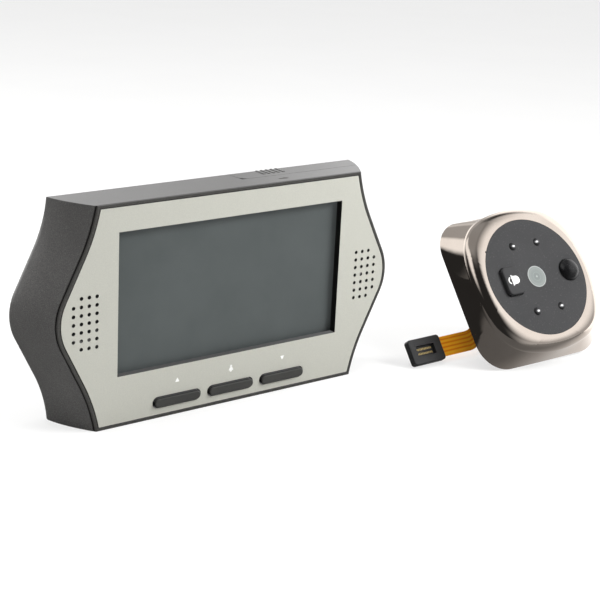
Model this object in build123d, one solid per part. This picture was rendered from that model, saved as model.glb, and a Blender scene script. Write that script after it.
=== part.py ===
from build123d import *
import os
from math import cos, radians, sin, sqrt

os.makedirs("parts", exist_ok=True)

# Peephole door camera: the indoor monitor stands on a table and the outdoor camera unit
# leans back beside it on its studs, with its ribbon cable unplugged.
# Millimetres. +X right, +Y back, +Z up. The origin is the centre of the monitor's underside.
# Monitor pieces are drawn about the middle of the monitor's front plane, X right, Y back, Z up.
# Camera unit pieces are drawn about the middle of its round face, Y back into the unit.

# Monitor case
case_half_height = 41.8
case_wall = 2.0
case_back_round = 2.6
smallest_back_round = 0.6
corner_half_width = 58.5
tip_reach = 15.7
tip_half_width = corner_half_width + tip_reach
tip_radius = 19.5
flank_angle = 26.6
flank_end_height = 23.5
corner_flare = 9.7
tip_flare = 8.7
flare_power_share = 1.6
section_shares = (0.0, 0.25, 0.5, 0.78, 1.0)
cut_over = 2.0
outline_over = 6.0

# Front frame and face plate
rim_width = 1.0
plate_gap = 0.35
plate_thickness = 0.5
seam_depth = 1.05
seam_gap = 0.2
frame_thickness = 3.0
frame_clearance = 0.15
window_side_margin = 8.5
window_top_margin = 10.4
window_low_margin = 19.3
window_width = 2 * (corner_half_width - window_side_margin)
window_height = 2 * case_half_height - window_top_margin - window_low_margin
window_z = (window_low_margin - window_top_margin) / 2
grille_pitch = 3.12
grille_first_reach = 0.1
grille_first_x = corner_half_width + grille_first_reach
grille_columns = 4
grille_rows = 7
grille_hole_radius = 0.72
grille_pocket_side = 1.6
grille_pocket_depth = 1.9

# Keys
key_pitch = 24.2
key_edge_room = 6.05
key_z = key_edge_room - case_half_height
key_slot_length = 21.3
key_slot_height = 4.6
key_clearance = 0.45
key_rise = 1.2
key_bevel_height = 0.6
key_bevel_angle = 40.0
key_flange_side = 1.1
key_flange_thickness = 0.9
key_flange_gap = 0.1
key_travel = 0.4
key_board_length = 66.0
key_board_height = 7.4
key_board_thickness = 1.0
key_switch_width = 5.0
key_switch_height = 3.6
key_switch_thickness = 1.2
key_plunger_radius = 1.2
key_plunger_gap = 0.1
key_plunger_insert = 0.3
key_switch_floor = 0.25

# Screen
lcd_side = 2.75
lcd_end = 6.65
lcd_width = window_width + 2 * lcd_side
lcd_height = window_height + 2 * lcd_end
lcd_frame_wall = 0.8
lcd_panel_thickness = 1.2
lcd_tray_thickness = 2.9
lcd_gap = 0.05

# Battery cells, and the case's depth, which stacks up from the screen, a cell and the cover
cell_radius = 6.95
cell_length = 50.5
cell_spacing = 0.4
cell_pitch = 2 * cell_radius + cell_spacing
cell_shoulder_radius = 2.8
cell_shoulder_length = 1.0
cell_can_round = 0.6
cell_front_gap = 0.3
cell_back_gap = 0.15
cell_top_gap = 0.65
cover_wall = 1.4
lcd_back_y = frame_thickness + lcd_gap + lcd_tray_thickness
cell_y = lcd_back_y + cell_front_gap + cell_radius
case_depth = cell_y + cell_radius + cell_back_gap + cover_wall
cell_top_z = case_half_height - cover_wall - cell_top_gap - cell_radius

# Main board and what sits on it
board_room = 4.95
board_front_y = lcd_back_y + board_room
board_thickness = 1.4
board_left_reach = 4.5
board_top_room = 4.8
board_low_room = 3.6
board_low_reach = 2.0
board_mid_reach = 6.1
board_high_reach = 7.5
board_slant_room = 12.8
board_bay_gap = 0.4
board_left = -(corner_half_width + board_left_reach)
board_top = case_half_height - board_top_room
board_bottom = board_low_room - case_half_height
board_slant_z = board_slant_room - case_half_height
shield_width = 24.0
shield_height = 18.0
shield_thickness = 1.8
shield_side_room = 3.0
shield_low_room = 7.2
shield_x = board_left + shield_side_room + shield_width / 2
shield_z = board_bottom + shield_low_room + shield_height / 2
shield_round = 1.0
shield_wall = 0.35
chip_unit = 6.0
chip_height = 1.2
chip_chamfer = 0.2
chip_size_shares = ((2.0, 2.0), (1.67, 1.0), (1.0, 0.83), (1.33, 0.67))
chip_place_shares = ((0.32, -0.76), (0.79, 0.38), (0.13, 0.49), (-0.32, -0.82))

# Camera socket and the well in the back that reaches it
socket_x = -28.0
socket_z = 0.0
socket_width = 9.0
socket_height = 4.0
socket_thickness = 1.5
socket_base_side = 0.8
socket_base_thickness = 0.5
well_width = 22.0
well_height = 15.0
well_wall = 1.2
well_round = 1.5
well_floor_gap = 0.3

# Back of the case
hook_slot_width = 10.0
hook_slot_height = 3.2
hook_spacing_x = 48.0
hook_spacing_z = 48.0
screw_low_side = 8.5
screw_low_room = 7.2
screw_high_side = 2.9
screw_high_room = 10.3
screw_low_x = corner_half_width - screw_low_side
screw_low_z = screw_low_room - case_half_height
screw_high_x = screw_high_side - corner_half_width
screw_high_z = case_half_height - screw_high_room
boss_radius = 2.6
boss_hole_radius = 1.1
screw_radius = 1.0
screw_head_radius = 2.1
screw_head_height = 1.4
screw_recess = 2.6
screw_clearance = 0.15
screw_bite = 3.7
cross_length_share = 0.55
cross_width_share = 0.16
boss_height = 5.8
boss_joint_depth = frame_thickness + boss_height
boss_gap = 0.15

# Speaker and microphone
speaker_reach = 4.8
speaker_x = corner_half_width + speaker_reach
speaker_radius = 8.6
speaker_depth = 4.4
speaker_rim_depth = 1.6
speaker_magnet_radius = 5.2
speaker_opening_radius = 7.4
speaker_cone_depth = 1.0
speaker_cone_radius = 3.0
microphone_radius = 3.0
microphone_depth = 2.7
microphone_hole_radius = 1.6
seat_gap = 0.1

# Memory card in the right flank
card_width = 11.0
card_length = 15.0
card_thickness = 0.9
card_notch = 1.2
card_low_room = 17.2
card_z = card_low_room - case_half_height
card_end_reach = 10.9
card_end_x = corner_half_width + card_end_reach
card_gap = 0.15
card_shell_wall = 0.35
card_shell_length = 11.2

# USB port in the right flank
usb_width = 7.6
usb_height = 2.7
usb_length = 5.6
usb_wall = 0.35
usb_low_room = 6.6
usb_z = usb_low_room - case_half_height
usb_end_reach = 6.9
usb_end_x = corner_half_width + usb_end_reach
usb_tongue_thickness = 0.6
usb_tongue_side = 1.0
port_gap = 0.4

# Battery holder and contacts: as many cells as fit above the memory card
holder_end_wall = 0.8
holder_rib = 0.8
holder_rib_reach = 4.2
holder_rib_depth = 3.6
holder_flank_gap = 0.6
contact_thickness = 0.3
contact_size = 9.0
contact_gap = 0.1
contact_leaf_reach = 0.75
bay_top_z = cell_top_z + cell_pitch / 2
card_top_z = card_z + card_width / 2 + card_gap + card_shell_wall
cell_count = int((bay_top_z - card_top_z) / cell_pitch)
bay_bottom_z = bay_top_z - cell_count * cell_pitch

# Battery cover
cover_left_gap = 0.3
cover_top_depth = 11.2
cover_low_overlap = 2.75
cover_gap = 0.22
cover_corner_round = 4.0
bay_land = 1.0
rail_reach = 1.5
rail_thickness = 0.8
rail_cover_wall = 1.0
rail_foot = 1.4
rib_count = 5
rib_first_room = 12.5
rib_pitch = 2.3
rib_width = 0.9
rib_rise = 0.35
rib_front_room = 2.9
rib_length = 5.6

# Camera unit
face_radius = 25.84
lip_side_reach = 6.03
lip_corner_reach = 8.86
lip_half = face_radius + lip_side_reach
lip_diagonal = face_radius + lip_corner_reach
lip_depth = 4.28
lip_corner_radius = 20.0
dome_angles = (6.0, 25.0, 46.0, 68.0, 90.0)
bezel_wall = 1.6
bezel_ledge = 1.3
bezel_ledge_depth = 1.0
bezel_notch_radius = 0.45
bezel_notch_angle = 146.0
body_gap = 0.1
body_step = 0.4
body_wall = 1.6
body_flare = 1.33
body_half = lip_half + body_flare
body_corner_radius = 13.4
body_tongue_wall = 1.0
body_tongue_depth = 1.4
body_tongue_gap = 0.15
soft_square_limit = 0.2

# Round face and what shows through it
disc_gap = 0.08
disc_thickness = 1.2
window_radius = 4.7
window_thickness = 0.9
window_gap = 0.05
led_x = 6.83
led_edge_room = 11.22
led_z = face_radius - led_edge_room
led_radius = 1.6
led_hole_gap = 0.1
led_dome_rise = 0.7
led_flange_radius = 1.9
led_flange_thickness = 0.8
led_body_length = 3.4
lead_radius = 0.25
lead_spread = 0.65
pir_edge_room = 7.64
pir_x = face_radius - pir_edge_room
pir_radius = 4.9
pir_rise = 3.0
pir_wall = 0.7
pir_flange = 0.9
pir_flange_thickness = 0.6
sensor_can_radius = 3.6
sensor_can_height = 4.0
sensor_can_round = 0.5
bell_edge_room = 11.69
bell_x = bell_edge_room - face_radius
bell_width = 9.0
bell_height = 12.4
bell_corner = 2.2
bell_rise = 1.8
bell_edge_round = 0.6
bell_clearance = 0.25
bell_flange = 0.8
bell_flange_thickness = 0.8
bell_flange_gap = 0.15
bell_travel = 0.8
bell_plunger_radius = 1.5
bell_plunger_gap = 0.1
bell_plunger_insert = 0.5
bell_switch_size = 6.0
bell_switch_floor = 0.4

# Camera board, lens and back of the camera unit
camera_board_y = 7.3
camera_board_thickness = 1.2
post_reach = 1.16
post_ring_radius = face_radius + post_reach
camera_board_edge = 1.6
camera_board_radius = post_ring_radius + camera_board_edge
post_radius = 1.7
post_hole_radius = 0.9
diagonal_share = 0.7071
board_screw_clearance = 0.1
board_screw_length = 4.4
board_screw_head_radius = 1.7
board_screw_head_height = 0.9
holder_size = 9.0
holder_height = 2.2
holder_corner = 0.8
holder_bore_radius = 3.2
barrel_radius = 3.1
barrel_top_y = 1.3
barrel_bore_radius = 2.2
barrel_floor = 0.4
sensor_size = 5.0
sensor_thickness = 0.8
lens_radius = 2.1
lens_rise = 0.7
back_plate_thickness = 1.6
back_plate_gap = 0.12
back_post_room = 10.8
back_post_place = body_half - back_post_room
back_post_radius = 2.4
back_post_board_room = 1.0
back_post_front_y = camera_board_y - back_post_board_room
back_post_web = 3.0
back_screw_length = 3.4
back_screw_head_radius = 1.9
back_screw_head_height = 1.0
back_screw_recess = 1.2
stud_radius = 2.0
stud_spacing = 16.0
stud_chamfer = 0.5
stud_neck_radius = 1.7
stud_neck_reach = 0.4
stud_head_radius = 3.0
stud_head_thickness = 1.2
stud_clearance = 0.1
stud_floor_gap = 0.05

# Ribbon cable and its plug
ribbon_x = -6.0
ribbon_width = 8.6
ribbon_thickness = 0.3
ribbon_bend_radius = 4.0
ribbon_z = -14.5
ribbon_jog_start = -10.6
ribbon_jog_end = -20.4
ribbon_slot_gap = 0.5
ribbon_insert = 0.9
grip_gap = 0.05
ribbon_socket_width = 3.2
ribbon_socket_height = 11.0
ribbon_socket_thickness = 1.6
ribbon_socket_room = 1.6
plug_left = -56.1
plug_right = -39.5
plug_height = 11.0
plug_thickness = 3.0
plug_round = 1.4
plug_edge_round = 0.5
plug_insert = 3.0
plug_well_width = 9.4
plug_well_height = 4.6
plug_well_depth = 1.7
plug_well_x = -48.2
contact_pairs = 10
contact_pitch = 0.8
contact_width = 0.35
contact_row_spacing = 1.9
contact_length = 0.8
contact_rise = 0.3
plug_floor_gap = 0.1

# How deep the camera unit is: its board, the socket behind the board and the back plate
board_back = camera_board_y + camera_board_thickness
body_depth = board_back + ribbon_socket_thickness + ribbon_socket_room + back_plate_thickness

# How the camera unit stands beside the monitor
camera_x = 140.4
camera_y = -21.1
camera_yaw = -3.85
camera_lean = 37.3
camera_roll = 2.1

screw_places = (
    (screw_high_x, screw_high_z),
    (-screw_low_x, screw_low_z),
    (screw_low_x, screw_low_z),
)
monitor_place = Pos(0, -case_depth / 2, case_half_height)


def bar(x, y, z):
    """A box that spans the three ranges given."""
    size = (x[1] - x[0], y[1] - y[0], z[1] - z[0])
    centre = ((x[0] + x[1]) / 2, (y[0] + y[1]) / 2, (z[0] + z[1]) / 2)
    return Pos(*centre) * Box(*size)


def front_plane(y, x=0.0, z=0.0):
    """A drawing plane parallel to the front at depth y: its x runs right, its y runs up."""
    return Plane(origin=(x, y, z), x_dir=(1, 0, 0), z_dir=(0, -1, 0))


def run_back(sketch, y, depth, x=0.0, z=0.0, taper=0.0):
    """The sketch, drawn on the front plane at depth y, extruded backwards."""
    return extrude(front_plane(y, x, z) * sketch, amount=-depth, taper=taper)


def rod(x, z, y, depth, radius):
    """A cylinder that runs backwards from depth y."""
    return run_back(Circle(radius), y, depth, x, z)


def save(place, name, *solids):
    """One STEP file with the solids of one node, put in the object's frame."""
    shapes = []
    for item in solids:
        for solid in item.solids():
            shapes.append(place * solid)
    whole = shapes[0] if len(shapes) == 1 else Compound(children=shapes)
    export_step(whole, f"parts/{name}.step")


# Case form: hexagonal outline with S-shaped flanks, flaring towards the back
def case_outline(corner, tip):
    """The outline as a face: flat top and bottom, concave upper flanks, straight run, round tips."""
    lean = radians(flank_angle)
    arc_end = (tip - tip_radius + tip_radius * cos(lean), tip_radius * sin(lean))
    run = (flank_end_height - arc_end[1]) * sin(lean) / cos(lean)
    flank_end = (arc_end[0] - run, flank_end_height)
    top = case_half_height + outline_over
    upper = [Line(arc_end, flank_end)]
    upper.append(TangentArc(flank_end, (corner, case_half_height), tangent=(-sin(lean), cos(lean))))
    upper.append(Line((corner, case_half_height), (corner, top)))
    right = upper + [mirror(edge, Plane.XZ) for edge in upper]
    right.append(ThreePointArc(arc_end, (tip, 0), (arc_end[0], -arc_end[1])))
    left = [mirror(edge, Plane.YZ) for edge in right]
    ends = [Line((-corner, side * top), (corner, side * top)) for side in (1, -1)]
    return make_face(Wire.combine(right + left + ends, tol=plate_gap / 100)[0])


def flare_share(y):
    """How much of its flare the case has reached at depth y."""
    return 1 - (1 - y / case_depth) ** flare_power_share


def case_form(inset, front=0.0):
    """The case's outer form, drawn in by inset on its sides and back."""
    sections = []
    back = case_depth - inset
    for share in section_shares:
        y = front + (back - front) * share
        corner = corner_half_width + corner_flare * flare_share(y)
        tip = tip_half_width + tip_flare * flare_share(y)
        face = case_outline(corner, tip)
        if inset > 0:
            face = offset(face, amount=-inset, kind=Kind.INTERSECTION)
        sections.append(front_plane(y) * face)
    form = loft(sections)
    reach = tip_half_width + tip_flare + cut_over
    high = case_half_height - inset
    form = form & bar((-reach, reach), (front - cut_over, case_depth + cut_over), (-high, high))
    edge_round = case_back_round - inset
    if edge_round > smallest_back_round:
        form = fillet(form.edges().filter_by(lambda e: e.center().Y > back - seam_gap), edge_round)
    return form


def front_slab(inset, y, depth):
    """A slab of the front outline, drawn in by inset."""
    face = case_outline(corner_half_width, tip_half_width)
    high = case_half_height - inset
    slab = run_back(offset(face, amount=-inset, kind=Kind.INTERSECTION), y, depth)
    reach = tip_half_width + cut_over
    return slab & bar((-reach, reach), (y - cut_over, y + depth + cut_over), (-high, high))


def key_xs():
    return [-key_pitch, 0.0, key_pitch]


def screen_cut(y, depth):
    return run_back(Rectangle(window_width, window_height), y, depth, 0, window_z)


def key_slots(y, depth):
    slot = SlotOverall(key_slot_length, key_slot_height)
    return [run_back(slot, y, depth, x, key_z) for x in key_xs()]


def grille_places():
    """Hole centres of the right grille: the outer column is one hole shorter at each end."""
    places = []
    for column in range(grille_columns):
        for row in range(grille_rows):
            outer = column == grille_columns - 1
            if outer and row in (0, grille_rows - 1):
                continue
            x = grille_first_x + column * grille_pitch
            z = (row - (grille_rows - 1) / 2) * grille_pitch
            places.append((x, z))
    return places


def face_plate():
    """Thin metal plate with the screen window, three key slots and two sound grilles."""
    plate = front_slab(rim_width + plate_gap, 0, plate_thickness)
    plate -= screen_cut(-cut_over, plate_thickness + 2 * cut_over)
    plate -= key_slots(-cut_over, plate_thickness + 2 * cut_over)
    through = plate_thickness + 2 * cut_over
    holes = []
    for side in (-1, 1):
        for x, z in grille_places():
            holes.append(rod(side * x, z, -cut_over, through, grille_hole_radius))
    return plate - holes


def frame_bosses():
    """Screw bosses that stand on the back of the front frame and take the case screws."""
    length = boss_joint_depth - frame_thickness
    return [rod(x, z, frame_thickness, length, boss_radius) for x, z in screw_places]


def front_frame():
    """Moulded frame: its rim shows round the plate, and its tongue fits inside the rear case."""
    reach = tip_half_width + tip_flare
    rim = case_form(0) & bar((-reach, reach), (0, seam_depth - seam_gap), (-reach, reach))
    tongue = front_slab(case_wall + frame_clearance, 0, frame_thickness)
    frame = rim + tongue + frame_bosses()
    frame -= front_slab(rim_width, -cut_over, cut_over + plate_thickness)
    frame -= screen_cut(0, frame_thickness + cut_over)
    frame -= key_slots(0, frame_thickness + cut_over)
    frame -= [rod(x, z, seam_depth, boss_joint_depth, boss_hole_radius) for x, z in screw_places]
    frame -= rod(-speaker_x, 0, 0, frame_thickness + cut_over, speaker_opening_radius)
    pocket_width = (grille_columns - 1) * grille_pitch + 2 * grille_pocket_side
    pocket_height = (grille_rows - 1) * grille_pitch + 2 * grille_pocket_side
    pocket = RectangleRounded(pocket_width, pocket_height, grille_pocket_side)
    frame -= run_back(pocket, 0, grille_pocket_depth, speaker_x, 0)
    frame -= rod(speaker_x, 0, 0, frame_thickness + cut_over, microphone_hole_radius)
    return frame


# The holder stands as far right as the flank allows at its front edge
holder_front_y = cell_y - holder_rib_reach
flank_x = corner_half_width + corner_flare * flare_share(holder_front_y)
holder_right = flank_x - case_wall - holder_flank_gap
cell_right_x = holder_right - holder_end_wall - contact_thickness - contact_gap
cell_left_x = cell_right_x - cell_length
holder_left = cell_left_x - contact_leaf_reach - contact_thickness - holder_end_wall
cover_left_x = cell_left_x - cover_left_gap
cover_front_y = case_depth - cover_top_depth
cover_bottom_z = bay_bottom_z - cover_low_overlap


# Battery cover: an L-shaped skin over the top and back, on rails that run along X
def cover_region(gap):
    """The space of the cover: a band of the top and of the back, open towards the right."""
    reach = tip_half_width + tip_flare + cut_over
    left = cover_left_x - gap
    front = cover_front_y - gap
    bottom = cover_bottom_z - gap
    inner_y = case_depth - cover_wall - gap
    inner_z = case_half_height - cover_wall - gap
    top_face = Rectangle(reach - left, case_depth + cut_over - front, align=Align.MIN)
    front_corner = top_face.vertices().sort_by(Axis.X)[:2].sort_by(Axis.Y)[0]
    top_face = fillet(front_corner, cover_corner_round)
    top = extrude(Pos(left, front, inner_z) * top_face, amount=rail_thickness + cover_wall + cut_over)
    back = bar((left, reach), (inner_y, case_depth + cut_over), (bottom, case_half_height + cut_over))
    return top + back


def rail_strips(gap):
    """Two strips along the cover's front and lower edges, which run behind the case's edges."""
    reach = tip_half_width + tip_flare + cut_over
    left = cover_left_x - gap
    high = case_half_height - rail_cover_wall - cover_gap
    deep = case_depth - rail_cover_wall - cover_gap
    low = high - rail_thickness
    near = deep - rail_thickness
    front = cover_front_y - rail_reach
    bottom = cover_bottom_z - rail_reach
    top_y = (front - gap, cover_front_y + rail_foot + gap)
    back_z = (bottom - gap, cover_bottom_z + rail_foot + gap)
    top = bar((left, reach), top_y, (low - gap, high + gap))
    back = bar((left, reach), (near - gap, deep + gap), back_z)
    return top + back


def bay_opening():
    """The opening under the cover, through which the cells go in."""
    x = (cover_left_x, holder_right + cover_gap)
    return bar(x, (cover_front_y, case_depth), (bay_bottom_z - cover_gap, case_half_height))


def battery_cover():
    """The cover's skin follows the case's form, with its rails and the grip ribs on top."""
    form = case_form(0)
    cover = form & (cover_region(0) + rail_strips(0))
    ribs = []
    front = cover_front_y + rib_front_room
    for index in range(rib_count):
        x = cover_left_x + rib_first_room + index * rib_pitch
        y = (front, front + rib_length)
        z = (case_half_height - cover_wall / 2, case_half_height + rib_rise)
        rib = bar((x - rib_width / 2, x + rib_width / 2), y, z)
        ribs.append(fillet(rib.faces().sort_by(Axis.Z)[-1].edges(), rib_rise * rib_width / 2))
    return cover + ribs


def rear_case():
    """Deep moulded shell, open at the front, with the socket well, hook slots and screw bosses."""
    reach = tip_half_width + tip_flare
    shell = case_form(0) - case_form(case_wall)
    shell -= bar((-reach, reach), (-cut_over, seam_depth), (-reach, reach))
    back_inner = case_depth - case_wall
    well_front = board_front_y + board_thickness + well_floor_gap
    in_back_wall = back_inner + case_wall / 2
    outer_size = (well_width + 2 * well_wall, well_height + 2 * well_wall)
    outer = RectangleRounded(*outer_size, well_round + well_wall)
    shell += run_back(outer, well_front, in_back_wall - well_front, socket_x, socket_z)
    boss_front = boss_joint_depth + boss_gap
    for x, z in screw_places:
        shell += rod(x, z, boss_front, in_back_wall - boss_front, boss_radius)
    well = RectangleRounded(well_width, well_height, well_round)
    shell -= run_back(well, well_front - cut_over, case_depth, socket_x, socket_z)
    recess_radius = screw_head_radius + screw_clearance
    for x, z in screw_places:
        shell -= rod(x, z, boss_front - cut_over, case_depth, screw_radius + screw_clearance)
        shell -= rod(x, z, case_depth - screw_recess, screw_recess + cut_over, recess_radius)
    slot = SlotOverall(hook_slot_width, hook_slot_height)
    for side in (-1, 1):
        for level in (-1, 1):
            x = socket_x + side * hook_spacing_x / 2
            z = socket_z + level * hook_spacing_z / 2
            shell -= run_back(slot, back_inner - cut_over, case_wall + 2 * cut_over, x, z)
    land_z = (cover_bottom_z - rail_reach - case_wall, case_half_height)
    land = bar((cover_left_x - case_wall, reach), (back_inner - bay_land, back_inner), land_z)
    shell += land & case_form(case_wall / 2)
    shell -= bay_opening()
    shell -= cover_region(cover_gap)
    shell -= rail_strips(cover_gap)
    outside = tip_half_width + tip_flare + cut_over
    card = bar((card_end_x - card_length, outside), card_ys(port_gap), card_zs(port_gap))
    usb = bar((usb_end_x - usb_length, outside), usb_ys(port_gap), usb_zs(port_gap))
    return shell - card - usb


# Keys, their switches and their board
def key_cap():
    """A stadium-shaped cap with bevelled sides and a flange that holds it behind the frame."""
    length = key_slot_length - 2 * key_clearance
    height = key_slot_height - 2 * key_clearance
    bevel_front = -key_rise + key_bevel_height
    back = frame_thickness + key_flange_gap
    outline = SlotOverall(length, height)
    cap = run_back(outline, bevel_front, back - bevel_front + key_flange_thickness)
    sketch = front_plane(bevel_front) * outline
    top = extrude(sketch, amount=key_bevel_height, taper=key_bevel_angle)
    side = 2 * key_flange_side
    flange = SlotOverall(key_slot_length + side, key_slot_height + side)
    return cap + top + run_back(flange, back, key_flange_thickness)


key_flange_back = frame_thickness + key_flange_gap + key_flange_thickness
key_switch_front = key_flange_back + key_travel + key_flange_gap
key_board_front = key_switch_front + key_switch_thickness


def key_plunger():
    length = key_switch_front + key_plunger_insert - key_flange_back
    return rod(0, 0, key_flange_back, length, key_plunger_radius)


def key_switches():
    """Three switch bodies, each with a well for its plunger."""
    bodies = []
    for x in key_xs():
        outline = RectangleRounded(key_switch_width, key_switch_height, key_switch_floor)
        body = run_back(outline, key_switch_front, key_switch_thickness, x, key_z)
        depth = key_switch_thickness - key_switch_floor
        well = rod(x, key_z, key_switch_front, depth, key_plunger_radius + key_plunger_gap)
        bodies.append(body - well)
    return bodies


def key_board():
    outline = RectangleRounded(key_board_length, key_board_height, key_board_thickness)
    return run_back(outline, key_board_front, key_board_thickness, 0, key_z + key_plunger_gap)


# Screen
def lcd_tray():
    """Metal tray round the screen's edge and back, open at the front."""
    outline = RectangleRounded(lcd_width, lcd_height, lcd_frame_wall)
    tray = run_back(outline, frame_thickness + lcd_gap, lcd_tray_thickness, 0, window_z)
    inner = Rectangle(lcd_width - 2 * lcd_frame_wall, lcd_height - 2 * lcd_frame_wall)
    depth = lcd_tray_thickness - lcd_frame_wall
    return tray - run_back(inner, frame_thickness + lcd_gap - cut_over, depth + cut_over, 0, window_z)


def lcd_panel():
    side = lcd_frame_wall + lcd_gap
    outline = Rectangle(lcd_width - 2 * side, lcd_height - 2 * side)
    return run_back(outline, frame_thickness + lcd_gap, lcd_panel_thickness, 0, window_z)


def lcd_backlight():
    """Light guide behind the panel, with a thin step for its strip of lamps."""
    side = lcd_frame_wall + 2 * lcd_gap
    front = frame_thickness + lcd_gap + lcd_panel_thickness
    depth = lcd_tray_thickness - lcd_frame_wall - lcd_panel_thickness
    outline = Rectangle(lcd_width - 2 * side, lcd_height - 2 * side)
    return run_back(outline, front, depth, 0, window_z)


# Main board
def main_board():
    """L-shaped board: tall beside the battery bay, and a strip below it to the right flank."""
    corners = (
        (board_left, board_bottom),
        (corner_half_width + board_low_reach, board_bottom),
        (corner_half_width + board_mid_reach, board_slant_z),
        (corner_half_width + board_high_reach, bay_bottom_z - board_bay_gap),
        (holder_left - board_bay_gap, bay_bottom_z - board_bay_gap),
        (holder_left - board_bay_gap, board_top),
        (board_left, board_top),
    )
    board = run_back(make_face(Polyline(*corners, close=True)), board_front_y, board_thickness)
    through = board_thickness + 2 * cut_over
    for x, z in screw_places:
        board -= rod(x, z, board_front_y - cut_over, through, boss_radius + frame_clearance)
    return board


def board_shield():
    """Folded metal can over the processor, open towards the board."""
    front = board_front_y - shield_thickness
    outline = RectangleRounded(shield_width, shield_height, shield_round)
    can = run_back(outline, front, shield_thickness, shield_x, shield_z)
    inner = Rectangle(shield_width - 2 * shield_wall, shield_height - 2 * shield_wall)
    return can - run_back(inner, front + shield_wall, shield_thickness, shield_x, shield_z)


def board_chips():
    """Chips on the front of the board, placed as shares of its left and top reach."""
    chips = []
    for size, place in zip(chip_size_shares, chip_place_shares):
        outline = Rectangle(size[0] * chip_unit, size[1] * chip_unit)
        x = place[0] * board_left
        z = place[1] * board_top
        chip = run_back(outline, board_front_y - chip_height, chip_height, x, z)
        chips.append(chamfer(chip.faces().sort_by(Axis.Y)[0].edges(), chip_chamfer))
    return chips


def camera_socket():
    """Board-to-board socket that the ribbon's plug presses onto."""
    front = board_front_y + board_thickness
    side = 2 * socket_base_side
    base = RectangleRounded(socket_width + side, socket_height + side, socket_base_side)
    socket = run_back(base, front, socket_base_thickness, socket_x, socket_z)
    block = Rectangle(socket_width, socket_height)
    socket += run_back(block, front, socket_thickness, socket_x, socket_z)
    groove = Rectangle(socket_width - side, socket_base_side)
    floor = front + socket_base_thickness
    return socket - run_back(groove, floor, socket_thickness, socket_x, socket_z)


def card_ys(gap):
    y = board_front_y + board_thickness + card_shell_wall + card_gap
    return (y - gap, y + card_thickness + gap)


def card_zs(gap):
    return (card_z - card_width / 2 - gap, card_z + card_width / 2 + gap)


def memory_card():
    """Memory card with one slanted corner at its inner end."""
    x = (card_end_x - card_length, card_end_x)
    card = bar(x, card_ys(0), card_zs(0))
    inner_edges = card.edges().filter_by(Axis.Y).sort_by(Axis.X)[:2]
    return chamfer(inner_edges.sort_by(Axis.Z)[-1], card_notch)


def card_slot():
    """Folded metal shell that guides the card, open towards the flank."""
    inner = card_end_x - card_length - card_gap
    side = card_gap + card_shell_wall
    outer_x = (inner - card_shell_wall, inner + card_shell_length)
    outer = bar(outer_x, card_ys(side), card_zs(side))
    return outer - bar((inner, inner + card_length + cut_over), card_ys(card_gap), card_zs(card_gap))


def usb_ys(gap):
    y = board_front_y + board_thickness
    return (y - gap, y + usb_height + gap)


def usb_zs(gap):
    return (usb_z - usb_width / 2 - gap, usb_z + usb_width / 2 + gap)


def usb_port():
    """USB socket: a metal shell with a tongue inside."""
    x = (usb_end_x - usb_length, usb_end_x)
    shell = bar(x, usb_ys(0), usb_zs(0))
    shell -= bar((x[0] + usb_wall, x[1] + cut_over), usb_ys(-usb_wall), usb_zs(-usb_wall))
    middle = sum(usb_ys(0)) / 2
    tongue_y = (middle - usb_tongue_thickness / 2, middle + usb_tongue_thickness / 2)
    return shell + bar((x[0], x[1] - 2 * usb_wall), tongue_y, usb_zs(-usb_tongue_side))


def cross_recess(radius, front, back):
    """The cross that a screwdriver fits, for a head of the radius given."""
    half_long = radius * cross_length_share
    half_wide = radius * cross_width_share
    cross = bar((-half_long, half_long), (front, back), (-half_wide, half_wide))
    return cross + bar((-half_wide, half_wide), (front, back), (-half_long, half_long))


def case_screws():
    """Cross-head screws that enter from the back and bite in the front frame's bosses."""
    head_front = case_depth - screw_recess
    cross = cross_recess(screw_head_radius, head_front + screw_head_height / 2, case_depth)
    tip = boss_joint_depth - screw_bite
    screws = []
    for x, z in screw_places:
        screw = rod(x, z, tip, head_front - tip, screw_radius)
        screw += rod(x, z, head_front, screw_head_height, screw_head_radius)
        screws.append(screw - Pos(x, 0, z) * cross)
    return screws


def turned(points, x, z, y):
    """A body of revolution about a line that runs backwards; points are (radius, depth)."""
    profile = make_face(Polyline(*points, close=True))
    solid = revolve(profile, Axis.Y)
    return Pos(x, y, z) * solid


def speaker():
    """Shallow loudspeaker: basket, magnet cup and cone."""
    profile = (
        (0, speaker_cone_depth),
        (speaker_cone_radius, speaker_cone_depth),
        (speaker_radius - speaker_cone_depth, contact_thickness),
        (speaker_radius - speaker_cone_depth, 0),
        (speaker_radius, 0),
        (speaker_radius, speaker_rim_depth),
        (speaker_magnet_radius, speaker_rim_depth + speaker_cone_depth),
        (speaker_magnet_radius, speaker_depth),
        (0, speaker_depth),
    )
    return turned(profile, -speaker_x, 0, frame_thickness + seat_gap)


def microphone():
    capsule = rod(speaker_x, 0, frame_thickness + seat_gap, microphone_depth, microphone_radius)
    return chamfer(capsule.faces().sort_by(Axis.Y)[-1].edges(), contact_thickness)


# Batteries
def cell_zs():
    return [cell_top_z - index * cell_pitch for index in range(cell_count)]


def battery_cells():
    """Round cells that lie along X, every second one turned end for end."""
    can_length = cell_length - cell_shoulder_length
    profile = (
        (0, 0),
        (cell_radius, 0),
        (cell_radius, can_length),
        (cell_shoulder_radius, can_length),
        (cell_shoulder_radius, cell_length),
        (0, cell_length),
    )
    cell = revolve(make_face(Polyline(*profile, close=True)), Axis.Y)
    rims = cell.edges().filter_by(GeomType.CIRCLE)
    rims = rims.filter_by(lambda rim: rim.radius > cell_radius - cell_can_round)
    cell = fillet(rims, cell_can_round)
    cells = []
    for index, z in enumerate(cell_zs()):
        if index % 2 == 0:
            cells.append(Pos(cell_left_x, cell_y, z) * Rot(0, 0, -90) * cell)
        else:
            cells.append(Pos(cell_right_x, cell_y, z) * Rot(0, 0, 90) * cell)
    return cells


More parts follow.
